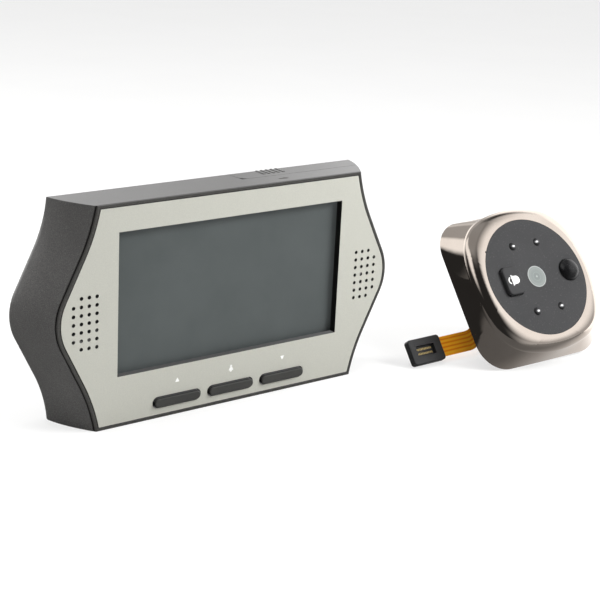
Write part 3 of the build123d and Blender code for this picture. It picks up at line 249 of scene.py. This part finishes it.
# Nodes
class Maker:
    """Adds nodes to one node tree."""

    def __init__(self, tree):
        self.tree = tree

    def node(self, kind, **settings):
        made = self.tree.nodes.new(kind)
        for key, value in settings.items():
            setattr(made, key, value)
        return made

    def link(self, out, into):
        self.tree.links.new(out, into)

    def maths(self, operation, *values, clamp=False):
        made = self.node("ShaderNodeMath", operation=operation, use_clamp=clamp)
        for index, value in enumerate(values):
            if isinstance(value, (int, float)):
                made.inputs[index].default_value = value
            else:
                self.link(value, made.inputs[index])
        return made.outputs[0]

    def vector_maths(self, operation, first, second):
        """Vector maths on an output and a fixed vector or another output; gives the node."""
        made = self.node("ShaderNodeVectorMath", operation=operation)
        self.link(first, made.inputs[0])
        if isinstance(second, tuple):
            made.inputs[1].default_value = second
        else:
            self.link(second, made.inputs[1])
        return made

    def split(self, vector):
        made = self.node("ShaderNodeSeparateXYZ")
        self.link(vector, made.inputs[0])
        return made.outputs

    def ramp(self, fac, *stops):
        """A colour ramp; each stop is (position, sRGB colour)."""
        made = self.node("ShaderNodeValToRGB")
        elements = made.color_ramp.elements
        while len(elements) < len(stops):
            elements.new(RAMP_MIDDLE)
        for element, (position, colour) in zip(elements, stops):
            element.position = position
            element.color = linear(*colour)
        self.link(fac, made.inputs["Fac"])
        return made.outputs["Color"]

    def rise(self, value, low, high):
        """0 under low, 1 past high, smooth between; the other way round where high is under low."""
        made = self.node("ShaderNodeMapRange", interpolation_type="SMOOTHSTEP")
        made.inputs["From Min"].default_value = low
        made.inputs["From Max"].default_value = high
        self.link(value, made.inputs["Value"])
        return made.outputs["Result"]

    def falloff(self, off, near, far):
        """1 where off is under near either way, 0 where it is past far, smooth between."""
        return self.rise(self.maths("ABSOLUTE", off), far, near)


class Material(Maker):
    """One node material around a Principled shader; keywords set its sockets."""

    def __init__(self, name, place=None, **sockets):
        self.name = name
        self.mat = bpy.data.materials.new(name)
        self.mat.use_nodes = True
        super().__init__(self.mat.node_tree)
        self.shader = self.tree.nodes["Principled BSDF"]
        for key, value in sockets.items():
            self.shader.inputs[key.replace("_", " ")].default_value = value
        self.point = self.node("ShaderNodeTexCoord").outputs["Object"]
        if place is not None:
            mapping = self.node("ShaderNodeMapping", vector_type="TEXTURE")
            mapping.inputs["Location"].default_value = place.to_translation()
            mapping.inputs["Rotation"].default_value = place.to_euler("XYZ")
            self.link(self.point, mapping.inputs["Vector"])
            self.point = mapping.outputs["Vector"]

    def noise(self, scale, detail=3.0, stretch=None):
        """Noise over the surface, drawn out by stretch along each axis."""
        made = self.node("ShaderNodeTexNoise")
        made.inputs["Scale"].default_value = scale
        made.inputs["Detail"].default_value = detail
        here = self.point
        if stretch:
            here = self.vector_maths("MULTIPLY", here, stretch).outputs[0]
        self.link(here, made.inputs["Vector"])
        return made.outputs["Fac"]

    def spread(self, fac, low, high, start=NOISE_LOW, end=NOISE_HIGH):
        """Maps a noise from its usual spread to low..high."""
        made = self.node("ShaderNodeMapRange")
        ends = {"From Min": start, "From Max": end, "To Min": low, "To Max": high}
        for key, value in ends.items():
            made.inputs[key].default_value = value
        self.link(fac, made.inputs["Value"])
        return made.outputs["Result"]

    def colour(self, out):
        self.link(out, self.shader.inputs["Base Color"])

    def mottled(self, fac):
        """Colours the surface from its dark to its light shade along a noise."""
        dark, light = SHADES[self.name]
        self.colour(self.ramp(fac, (NOISE_LOW, dark), (NOISE_HIGH, light)))

    def rough(self, out):
        self.link(out, self.shader.inputs["Roughness"])

    def bump(self, height, strength, distance):
        made = self.node("ShaderNodeBump")
        made.inputs["Strength"].default_value = strength
        made.inputs["Distance"].default_value = distance
        self.link(height, made.inputs["Height"])
        self.link(made.outputs["Normal"], self.shader.inputs["Normal"])

    def paint(self, where, shade):
        """Paints a dark shade over the colour so far wherever where is 1: painted shade."""
        colour = self.shader.inputs["Base Color"].links[0].from_socket
        mix = self.node("ShaderNodeMix", data_type="RGBA")
        factor, first, second = (mix.inputs[index] for index in (0, 6, 7))
        self.link(where, factor)
        self.link(colour, first)
        second.default_value = linear(*shade)
        self.colour(mix.outputs[2])

    def past(self, depth):
        """1 further behind the monitor's front plane than depth."""
        return self.maths("GREATER_THAN", self.split(self.point)["Y"], MONITOR_FRONT + depth)

    def behind(self, depth, shade):
        """Paints a painted shade on what lies further behind the monitor's front plane than depth.
        """
        self.paint(self.past(depth), shade)

    def inner_walls(self, depth, shade):
        """Paints a painted shade on walls that face the monitor's middle, from depth behind its
        front plane on.
        """
        arm = self.vector_maths("SUBTRACT", self.point, (0, 0, MONITOR_MIDDLE))
        flat = self.vector_maths("MULTIPLY", arm.outputs[0], (1, 0, 1))
        normal = self.node("ShaderNodeNewGeometry").outputs["Normal"]
        facing = self.vector_maths("DOT_PRODUCT", flat.outputs[0], normal).outputs["Value"]
        inner = self.maths("LESS_THAN", facing, INWARD_LIMIT)
        self.paint(self.maths("MULTIPLY", inner, self.past(depth)), shade)


# Materials
def moulded(name, grain=900.0, rough=(0.42, 0.55), bump=0.12, depth=0.05 * MM, **sockets):
    """Moulded or printed surface: two close tones, a fine grain and uneven gloss."""
    made = Material(name, **sockets)
    fine = made.noise(grain, GRAIN_DETAIL)
    made.mottled(made.noise(CLOUD_SCALE, CLOUD_DETAIL))
    made.rough(made.spread(fine, *rough))
    made.bump(fine, bump, depth)
    return made


def flake_paint(
    name, coat, rough=(0.30, 0.40), scale=4200.0, detail=1.0, patches=40.0, patch_share=0.18,
    stops=(0.40, 0.62, 0.84), bump=0.05, depth=0.02 * MM,
):
    """Metallic paint: dark ground with fine brighter flakes under a clear coat."""
    made = Material(name, Metallic=0.35, Coat_Weight=coat, Coat_Roughness=0.07)
    flakes = made.noise(scale, detail)
    mixed = made.maths("MULTIPLY_ADD", made.noise(patches), patch_share, flakes)
    made.colour(made.ramp(mixed, *zip(stops, SHADES[name])))
    made.rough(made.spread(flakes, *rough))
    made.bump(flakes, bump, depth)
    return made


def brushed(name, stretch, rough=(0.28, 0.40), bump=0.06, depth=0.02 * MM, **sockets):
    """Metal with fine lines: stretch is how fast the grain changes along each axis."""
    made = Material(name, **sockets)
    lines = made.noise(1.0, GRAIN_DETAIL, stretch)
    made.mottled(lines)
    made.rough(made.spread(lines, *rough))
    made.bump(lines, bump, depth)
    return made


def plated(name, clouds=55.0, wipes=700.0, rough=(0.04, 0.09), bump=0.02, depth=0.05 * MM):
    """Polished plating with a warm tint and faint wipe marks in its gloss."""
    made = Material(name, Metallic=1.0)
    cloud = made.noise(clouds, CLOUD_DETAIL)
    made.mottled(cloud)
    made.rough(made.spread(made.noise(wipes), *rough))
    made.bump(cloud, bump, depth)
    return made


def board_mask(name, scale=320.0, gap=0.03, bump=0.2, depth=0.03 * MM):
    """Circuit board: green mask with lighter traces."""
    made = Material(name, Roughness=0.35)
    turn = made.node("ShaderNodeMapping")
    turn.inputs["Rotation"].default_value = (pi / 2, 0, 0)
    made.link(made.point, turn.inputs["Vector"])
    traces = made.node("ShaderNodeTexBrick", offset=0.5)
    traces.inputs["Scale"].default_value = scale
    traces.inputs["Mortar Size"].default_value = gap
    for key, shade in zip(("Color1", "Color2", "Mortar"), SHADES[name]):
        traces.inputs[key].default_value = linear(*shade)
    made.link(turn.outputs["Vector"], traces.inputs["Vector"])
    made.colour(traces.outputs["Color"])
    made.bump(traces.outputs["Fac"], bump, depth)
    return made


def radius_shades(made, across, up, radius, shades):
    """Colours a round face by the distance from its middle, as a share of radius."""
    wide = made.maths("MULTIPLY", across, across)
    distance = made.maths("SQRT", made.maths("ADD", wide, up))
    made.colour(made.ramp(made.maths("DIVIDE", distance, radius), *shades))


def milky_glass(name):
    """The lens window: faint rings round a painted highlight in the middle, paler at the rim."""
    made = Material(name, UNIT, Roughness=0.14, Coat_Weight=0.5, Coat_Roughness=0.04)
    place = made.split(made.point)
    high = made.maths("MULTIPLY", place["Z"], place["Z"])
    radius_shades(made, place["X"], high, WINDOW_RADIUS * MM, WINDOW_SHADES_AND_HIGHLIGHT)
    return made


def clear_lamp(name):
    """Clear moulded lamp with a painted highlight: the middle is painted bright, the rim painted
    dark as shade.
    """
    made = Material(name, UNIT, Roughness=0.08)
    place = made.split(made.point)
    across = made.maths("SUBTRACT", made.maths("ABSOLUTE", place["X"]), (LAMP_X - LAMP_HIGHLIGHT_OFFSET) * MM)
    up = made.maths("SUBTRACT", made.maths("ABSOLUTE", place["Z"]), LAMP_Z * MM)
    high = made.maths("MULTIPLY", made.maths("MULTIPLY", up, up), LAMP_HIGHLIGHT_FLATNESS)
    radius_shades(made, across, high, LAMP_RADIUS * MM, LAMP_HIGHLIGHT_SHADES)
    return made


def ribbon_tracks(name, scale=260.0, stains=0.5, span=(-0.9, 1.3), bump=0.3, depth=0.03 * MM):
    """Amber film over copper tracks that run along the strip; U goes across it."""
    made = Material(name, Roughness=0.28, Coat_Weight=0.4, Coat_Roughness=0.1)
    across = made.split(made.node("ShaderNodeUVMap").outputs["UV"])["X"]
    wave = made.maths("SINE", made.maths("MULTIPLY", across, 2 * pi * RIBBON_TRACKS))
    off = made.maths("ABSOLUTE", made.maths("SUBTRACT", across, 1 / 2))
    track = made.maths("MULTIPLY", wave, made.maths("LESS_THAN", off, RIBBON_TRACK_REACH))
    mixed = made.maths("MULTIPLY_ADD", made.noise(scale, GRAIN_DETAIL), stains, track)
    made.colour(made.ramp(made.spread(mixed, 0.0, 1.0, *span), *RIBBON_SHADES))
    made.bump(track, bump, depth)
    return made


CASE = flake_paint("case_paint", coat=0.8)
RIM = flake_paint("rim_paint", coat=0.1)
# Painted shade on the rim behind its step and on the walls of its recesses
RIM.behind(*RIM_STEP_PAINTED_SHADE)
RIM.inner_walls(*RIM_WALLS_PAINTED_SHADE)
PLATE = brushed("face_plate_metal", PLATE_GRAIN, rough=(0.38, 0.44), bump=0.03, Metallic=0.3)
# Painted shade on the plate's edges and in its holes
PLATE.behind(*PLATE_EDGE_PAINTED_SHADE)
SCREEN = moulded(
    "screen_film", grain=2400.0, rough=(0.30, 0.36), bump=0.02, Specular_IOR_Level=0.4,
)
KEY = moulded("key_plastic", rough=(0.28, 0.38), bump=0.06, Specular_IOR_Level=0.25)
# Painted shade on the keys' sides
KEY.behind(*KEY_SIDES_PAINTED_SHADE)
BLACK = moulded("black_moulding")
PLUG = moulded("plug_moulding", rough=(0.30, 0.42), bump=0.15)
WHITE = moulded("diffuser_film")
STEEL = brushed("rolled_steel", ROLLED_GRAIN, Metallic=1.0)
SCREW = brushed("screw_steel", EVEN_GRAIN, Metallic=1.0)
CAN = brushed("spun_aluminium", SPUN_GRAIN, Metallic=1.0)
BOARD = board_mask("circuit_mask")
IVORY = moulded("ivory_moulding")
JACKET = brushed("cell_jacket", JACKET_GRAIN, Metallic=0.6)
PLATING = plated("warm_plating")
DISC = moulded("disc_gloss", grain=1600.0, rough=(0.22, 0.28), bump=0.02, Specular_IOR_Level=0.3)
DOME = moulded("motion_lens", grain=1500.0, rough=(0.20, 0.28), bump=0.04)
BELL = moulded("bell_gloss", grain=1500.0, rough=(0.14, 0.20), bump=0.02)
LENS = milky_glass("lens_window_glass")
LAMP = clear_lamp("lamp_clear")
GOLD = brushed("contact_gold", CONTACT_GRAIN, Metallic=0.4)
FILM = ribbon_tracks("ribbon_film")
PRINT = moulded("white_print", grain=3000.0, rough=(0.5, 0.6))
DARK_PRINT = moulded("dark_print", grain=3000.0, rough=(0.5, 0.6))

FINISHES = (
    (CASE, "rear_case battery_cover"),
    (RIM, "front_frame"),
    (PLATE, "face_plate"),
    (SCREEN, "lcd_panel"),
    (WHITE, "lcd_backlight"),
    (STEEL, "lcd_tray board_shield card_slot usb_port battery_plates battery_springs pir_sensor"),
    (BOARD, "main_board key_board camera_board"),
    (BLACK, "board_chips key_switches bell_switch image_sensor battery_holder bell_plunger"),
    (BLACK, "up_key_plunger call_key_plunger down_key_plunger"),
    (BLACK, "back_plate lens_holder lens_barrel speaker memory_card"),
    (KEY, "up_key call_key down_key"),
    (IVORY, "camera_socket ribbon_socket"),
    (CAN, "microphone"),
    (JACKET, "battery_cells"),
    (SCREW, "case_screws board_screws back_screws mounting_studs"),
    (PLATING, "camera_bezel camera_body"),
    (DISC, "face_disc"),
    (LENS, "lens_window"),
    (LAMP, "infrared_lamps lens_element"),
    (DOME, "pir_dome"),
    (BELL, "bell_button"),
    (PLUG, "ribbon_plug"),
    (GOLD, "plug_contacts"),
)
for finish, names in FINISHES:
    for name in names.split():
        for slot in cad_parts[name].material_slots:
            slot.material = finish.mat
# Shiny faces show nothing that ends left of this place, which keeps the monitor out of them
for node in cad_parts.values():
    reach = max((node.matrix_world @ Vector(corner)).x for corner in node.bound_box)
    node.visible_glossy = reach > UNIT_LEFT


# Meshes
def mesh_piece(name, points, faces, finish, body):
    """A mesh object in the row's frame that rides on a body."""
    mesh = bpy.data.meshes.new(name)
    mesh.from_pydata([tuple(point) for point in points], [], faces)
    cleaned = bmesh.new()
    cleaned.from_mesh(mesh)
    bmesh.ops.recalc_face_normals(cleaned, faces=cleaned.faces)
    cleaned.to_mesh(mesh)
    cleaned.free()
    piece = bpy.data.objects.new(name, mesh)
    bpy.context.scene.collection.objects.link(piece)
    mesh.materials.append(finish.mat)
    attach(piece, body)
    return piece


def arc(x, z, radius, start, end, steps):
    """Points of an arc, in degrees anticlockwise."""
    points = []
    for index in range(steps + 1):
        angle = radians(start + (end - start) * index / steps)
        points.append((x + radius * cos(angle), z + radius * sin(angle)))
    return points


def printed(name, outlines, place, finish, body):
    """Flat shapes raised by a print's thickness; outlines are (x, z) in the plane of place."""
    points = []
    faces = []
    for outline in outlines:
        start = len(points)
        count = len(outline)
        for depth in (-MARK_THICKNESS, 0):
            points += [place @ Vector((x * MM, depth, z * MM)) for x, z in outline]
        front = range(start, start + count)
        faces += [tuple(front), tuple(index + count for index in front)]
        for index in range(count):
            here = start + index
            after = start + (index + 1) % count
            faces.append((here, after, after + count, here + count))
    return mesh_piece(name, points, faces, finish, body)


def key_marks():
    """Arrows above the outer keys and a small upright bell above the middle one."""
    for name, x, way in (("up_mark", -KEY_PITCH, 1), ("down_mark", KEY_PITCH, -1)):
        foot = MARK_Z - way * ARROW_HALF * ARROW_FOOT_SHARE
        arrow = [(x - ARROW_HALF, foot), (x + ARROW_HALF, foot), (x, MARK_Z + way * ARROW_HALF)]
        printed(name, [arrow], MONITOR, PRINT, "housings")
    knob = arc(0, MARK_Z + KNOB_RISE, KNOB_RADIUS, *KNOB_TURN)
    waist = [(x, MARK_Z + z) for x, z in WAIST_LIP]
    waist += arc(0, MARK_Z + WAIST_FALL, WAIST_RADIUS, *WAIST_TURN)
    waist += [(-x, MARK_Z + z) for x, z in reversed(WAIST_LIP)]
    clapper = arc(0, MARK_Z + CLAPPER_FALL, CLAPPER_RADIUS, *CLAPPER_TURN)
    printed("bell_mark", [knob, waist, clapper], MONITOR, PRINT, "housings")


def button_mark():
    """Bell that lies on its side on the outdoor button, its mouth towards the rim."""
    bell = list(BELL_LIP) + arc(CROWN_MIDDLE, 0, CROWN_RADIUS, *CROWN_TURN)
    bell += [(x, -z) for x, z in reversed(BELL_LIP)]
    start, end, steps = RING_TURN
    outer, inner = RING_RADII
    ring = arc(RING_MIDDLE, 0, outer, start, end, steps)
    ring += arc(RING_MIDDLE, 0, inner, end, start, steps)
    outlines = [[(BELL_X + x, z) for x, z in outline] for outline in (bell, ring)]
    place = UNIT @ Matrix.Translation(Vector((0, -BELL_RISE, 0)))
    printed("door_bell_mark", outlines, place, PRINT, "bell_button")


def lock_mark():
    """A small arrow on the case's top, beside the battery cover's grip."""
    top = Matrix.Translation(Vector((0, MONITOR_FRONT, 2 * MONITOR_MIDDLE)))
    arrow = [(LOCK_X + x, LOCK_Y + y) for x, y in LOCK_ARROW]
    lying = top @ Matrix.Rotation(-pi / 2, 4, "X")
    printed("open_mark", [arrow], lying, DARK_PRINT, "housings")


def ring_points(x, z, y, radius, sides):
    """Points of a circle round a stud's axis, in the unit's frame."""
    points = []
    for side in range(sides):
        angle = 2 * pi * side / sides
        points.append((x + radius * cos(angle), y, z + radius * sin(angle)))
    return points


def thread_points(x, z):
    """Rings of a screw thread: the crest's depth turns with the angle."""
    rings = []
    half_way = (STUD_ROOT_RADIUS + STUD_RADIUS) / 2
    levels = (STUD_ROOT_RADIUS, half_way, STUD_RADIUS, half_way)
    turn = len(levels)
    step = THREAD_PITCH / turn
    count = int((STUD_THREAD_BACK - STUD_THREAD_FRONT) / step)
    for index in range(count + 1):
        ring = []
        radius = levels[index % turn]
        for side in range(THREAD_SIDES):
            share = side / THREAD_SIDES
            y = STUD_THREAD_FRONT + (index + turn * (share - 1 / 2)) * step
            y = min(max(y, STUD_THREAD_FRONT), STUD_THREAD_BACK)
            ring.append((x + radius * cos(2 * pi * share), y, z + radius * sin(2 * pi * share)))
        rings.append(ring)
    return rings


def add_tube(points, faces, rings):
    """Adds a closed tube through rings of the unit's frame to points and faces."""
    start = len(points)
    sides = len(rings[0])
    for ring in rings:
        points += [UNIT @ (Vector(point) * MM) for point in ring]
    for index in range(len(rings) - 1):
        here = start + index * sides
        for side in range(sides):
            after = (side + 1) % sides
            faces.append((here + side, here + after, here + sides + after, here + sides + side))
    last = start + (len(rings) - 1) * sides
    for first in (start, last):
        faces.append(tuple(range(first, first + sides)))


def mounting_studs():
    """Threaded studs with bare necks and hexagon heads."""
    points = []
    faces = []
    for z in (-STUD_SPACING / 2, STUD_SPACING / 2):
        head_ends = (STUD_HEAD_FRONT, STUD_HEAD_BACK)
        neck_ends = (STUD_HEAD_BACK, STUD_THREAD_FRONT)
        head = [ring_points(0, z, y, STUD_HEAD_RADIUS, STUD_HEAD_SIDES) for y in head_ends]
        neck = [ring_points(0, z, y, STUD_NECK_RADIUS, THREAD_SIDES) for y in neck_ends]
        add_tube(points, faces, head)
        add_tube(points, faces, neck + thread_points(0, z))
    studs = mesh_piece("threaded_studs", points, faces, SCREW, "housings")
    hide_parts("mounting_studs")


def centre_line(route):
    """Points of the route's smooth curve, read from its spline."""
    curve = bpy.data.curves.new("ribbon_route", "CURVE")
    curve.dimensions = "3D"
    spline = curve.splines.new("NURBS")
    spline.points.add(len(route) - 1)
    for point, place in zip(spline.points, route):
        here = UNIT @ (Vector(place) * MM)
        point.co = (*here, 1.0)
    spline.order_u = 3
    spline.use_endpoint_u = True
    spline.resolution_u = RIBBON_STEPS
    holder = bpy.data.objects.new("ribbon_route", curve)
    bpy.context.scene.collection.objects.link(holder)
    bpy.context.view_layer.update()
    line = bpy.data.meshes.new_from_object(holder)
    points = [vertex.co.copy() for vertex in line.vertices]
    bpy.data.objects.remove(holder)
    bpy.data.meshes.remove(line)
    return points


def strip(name, path, across):
    """The flat cable: a strip whose width runs along across, with U across it and V along it."""
    points = []
    lengths = [0.0]
    corners = ((-1, -1), (1, -1), (1, 1), (-1, 1))
    sides = len(corners)
    for index, place in enumerate(path):
        before = path[max(index - 1, 0)]
        after = path[min(index + 1, len(path) - 1)]
        if index:
            lengths.append(lengths[-1] + (place - before).length)
        normal = (after - before).cross(across).normalized()
        for side, level in corners:
            edge = across * (side * RIBBON_WIDTH / 2)
            points.append(place + edge + normal * (level * RIBBON_THICKNESS / 2))
    faces = []
    last = sides * (len(path) - 1)
    for here in range(0, last, sides):
        for first in range(sides):
            second = (first + 1) % sides
            faces.append((here + first, here + second, here + sides + second, here + sides + first))
    faces += [tuple(reversed(range(sides))), tuple(range(last, last + sides))]
    piece = mesh_piece(name, points, faces, FILM, "housings")
    layer = piece.data.uv_layers.new(name="UVMap")
    for loop in piece.data.loops:
        index, corner = divmod(loop.vertex_index, sides)
        layer.data[loop.index].uv = (max(corners[corner][0], 0), lengths[index])
    return piece, lengths[-1]


def ribbon_cable():
    path = centre_line(RIBBON_ROUTE)
    up_the_face = (UNIT.to_3x3() @ Vector((0, 0, 1))).normalized()
    ribbon, length = strip("ribbon_strip", path, up_the_face)
    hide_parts("ribbon_cable")


# Floor: its half size in metres, the share of plain white that the camera sees of it, and
# what shiny surfaces see of it: a dark level, and spans in metres over which more is added
FLOOR_HALF = 6.0
FLOOR_CLOUDS = 12.0
FLOOR_WHITE_SHARE = 0.62
FLOOR_DARK = 0.02
SLANT = 1.5
SLANT_SPAN = (0.04, 0.16)
RIGHT_SPAN = (0.05, 0.13)
RIGHT_LEVEL = 1.2
FRONT_SPAN = (0.0, -0.04)
FRONT_LEVEL = 0.08
FAR_RIGHT_SPAN = (0.10, 0.18)
FAR_RIGHT_LEVEL = 0.10

# Soft panels of the studio: the middle's bearing and height, half their width and height,
# half the width of the soft edges and the level. Bearings run from the front to the right.
PANELS = (
    ((60, 34), (40, 24), (14, 16), 0.97),
    ((108, 14), (34, 28), (10, 10), 1.28),
    ((55, 4), (50, 14), (18, 10), 0.38),
    ((-105, 51), (48, 15), (12, 8), 0.95),
    ((-175, 12), (36, 26), (24, 10), 1.2),
    ((180, 50), (50, 20), (20, 8), 0.34),
    ((0, 90), (400, 28), (30, 8), 0.25),
)
ROOM_LEVEL = 0.02
WHITE_LIGHT = (1, 1, 1, 1)

# Lamps: name, place, the point they face, width and height in metres, and watts
LAMPS = (
    ("top_softbox", (-0.05, 0.05, 0.9), (0.03, 0.0, 0.0), (0.9, 0.7), 4.5),
    ("front_softbox", (0.42, -0.38, 0.42), (0.05, 0.0, 0.04), (0.3, 0.25), 4.6),
    ("left_softbox", (-0.5, 0.5, 0.42), (-0.06, 0.0, 0.06), (0.4, 0.4), 3.6),
)


def mirrored_floor(made):
    """How bright shiny surfaces see the floor: bright to the right, darkest behind at the left."""
    place = made.split(made.point)
    slant = made.maths("MULTIPLY_ADD", place["Y"], SLANT, place["X"])
    right = made.rise(place["X"], *RIGHT_SPAN)
    right = made.maths("MULTIPLY", made.rise(slant, *SLANT_SPAN), right)
    level = made.maths("MULTIPLY_ADD", right, RIGHT_LEVEL, FLOOR_DARK)
    front = made.rise(place["Y"], *FRONT_SPAN)
    level = made.maths("MULTIPLY_ADD", front, FRONT_LEVEL, level)
    far_right = made.rise(place["X"], *FAR_RIGHT_SPAN)
    return made.maths("MULTIPLY_ADD", far_right, FAR_RIGHT_LEVEL, level)


def floor():
    """Pale floor: what the camera sees is partly plain white, so the soft shadows stay."""
    made = Material("pale_floor", Roughness=0.6)
    made.mottled(made.noise(FLOOR_CLOUDS))
    rays = made.node("ShaderNodeLightPath").outputs
    more = made.maths("SUBTRACT", mirrored_floor(made), 1.0)
    glow = made.node("ShaderNodeEmission")
    made.link(made.maths("MULTIPLY_ADD", rays["Is Glossy Ray"], more, 1.0), glow.inputs["Strength"])
    seen = made.maths("ADD", rays["Is Camera Ray"], rays["Is Transmission Ray"])
    share = made.maths("MULTIPLY_ADD", seen, FLOOR_WHITE_SHARE, rays["Is Glossy Ray"])
    mix = made.node("ShaderNodeMixShader")
    made.link(share, mix.inputs["Fac"])
    made.link(made.shader.outputs["BSDF"], mix.inputs[1])
    made.link(glow.outputs[0], mix.inputs[2])
    made.link(mix.outputs[0], made.tree.nodes["Material Output"].inputs["Surface"])
    corners = [(x * FLOOR_HALF, y * FLOOR_HALF, 0) for x, y in ((-1, -1), (1, -1), (1, 1), (-1, 1))]
    mesh = bpy.data.meshes.new("floor")
    mesh.from_pydata(corners, [], [tuple(range(len(corners)))])
    piece = bpy.data.objects.new("floor", mesh)
    bpy.context.scene.collection.objects.link(piece)
    mesh.materials.append(made.mat)


def panel_level(made, bearing, height):
    """The brightest panel's level in a direction, over the dim room's own."""
    level = 0
    for middle, half, soft, strength in PANELS:
        off = made.maths("WRAP", made.maths("SUBTRACT", bearing, radians(middle[0])), pi, -pi)
        wide = made.falloff(off, radians(half[0] - soft[0]), radians(half[0] + soft[0]))
        off = made.maths("SUBTRACT", height, radians(middle[1]))
        high = made.falloff(off, radians(half[1] - soft[1]), radians(half[1] + soft[1]))
        panel = made.maths("MULTIPLY", made.maths("MULTIPLY", wide, high), strength)
        level = made.maths("MAXIMUM", level, panel)
    return made.maths("ADD", level, ROOM_LEVEL)


def studio_world():
    """White to the camera; to the object a dim room with soft panels."""
    world = bpy.data.worlds.new("studio")
    bpy.context.scene.world = world
    world.use_nodes = True
    made = Maker(world.node_tree)
    room = made.tree.nodes["Background"]
    way = made.split(made.node("ShaderNodeTexCoord").outputs["Generated"])
    bearing = made.maths("ARCTAN2", way["X"], made.maths("MULTIPLY", way["Y"], -1.0))
    height = made.maths("ARCSINE", way["Z"])
    made.link(panel_level(made, bearing, height), room.inputs["Strength"])
    white = made.node("ShaderNodeBackground")
    for shown in (room, white):
        shown.inputs["Color"].default_value = WHITE_LIGHT
    rays = made.node("ShaderNodeLightPath").outputs
    seen = made.maths("ADD", rays["Is Camera Ray"], rays["Is Transmission Ray"], clamp=True)
    mix = made.node("ShaderNodeMixShader")
    made.link(seen, mix.inputs["Fac"])
    made.link(room.outputs[0], mix.inputs[1])
    made.link(white.outputs[0], mix.inputs[2])
    made.link(mix.outputs[0], made.tree.nodes["World Output"].inputs["Surface"])


def softbox(name, place, aim, size, power):
    """A rectangular lamp; shiny surfaces show the room's panels in its stead."""
    lamp = bpy.data.lights.new(name, "AREA")
    lamp.shape = "RECTANGLE"
    lamp.size, lamp.size_y = size
    lamp.energy = power
    holder = bpy.data.objects.new(name, lamp)
    holder.location = place
    holder.rotation_euler = (Vector(aim) - Vector(place)).to_track_quat("-Z", "Y").to_euler()
    holder.visible_glossy = False
    bpy.context.scene.collection.objects.link(holder)


def photo_camera():
    lens = bpy.data.cameras.new("photo_camera")
    lens.sensor_width = SENSOR
    lens.lens = SENSOR * FOCAL_SHARE
    lens.clip_start = CLIP_START
    camera = bpy.data.objects.new("photo_camera", lens)
    camera.location = CAMERA_PLACE
    camera.rotation_euler = Euler([radians(angle) for angle in CAMERA_TURN], "XYZ")
    bpy.context.scene.collection.objects.link(camera)
    bpy.context.scene.camera = camera


photo_camera()
ribbon_cable()
key_marks()
button_mark()
lock_mark()
mounting_studs()
floor()
studio_world()
for lamp in LAMPS:
    softbox(*lamp)
bpy.context.scene.view_settings.view_transform = "Standard"
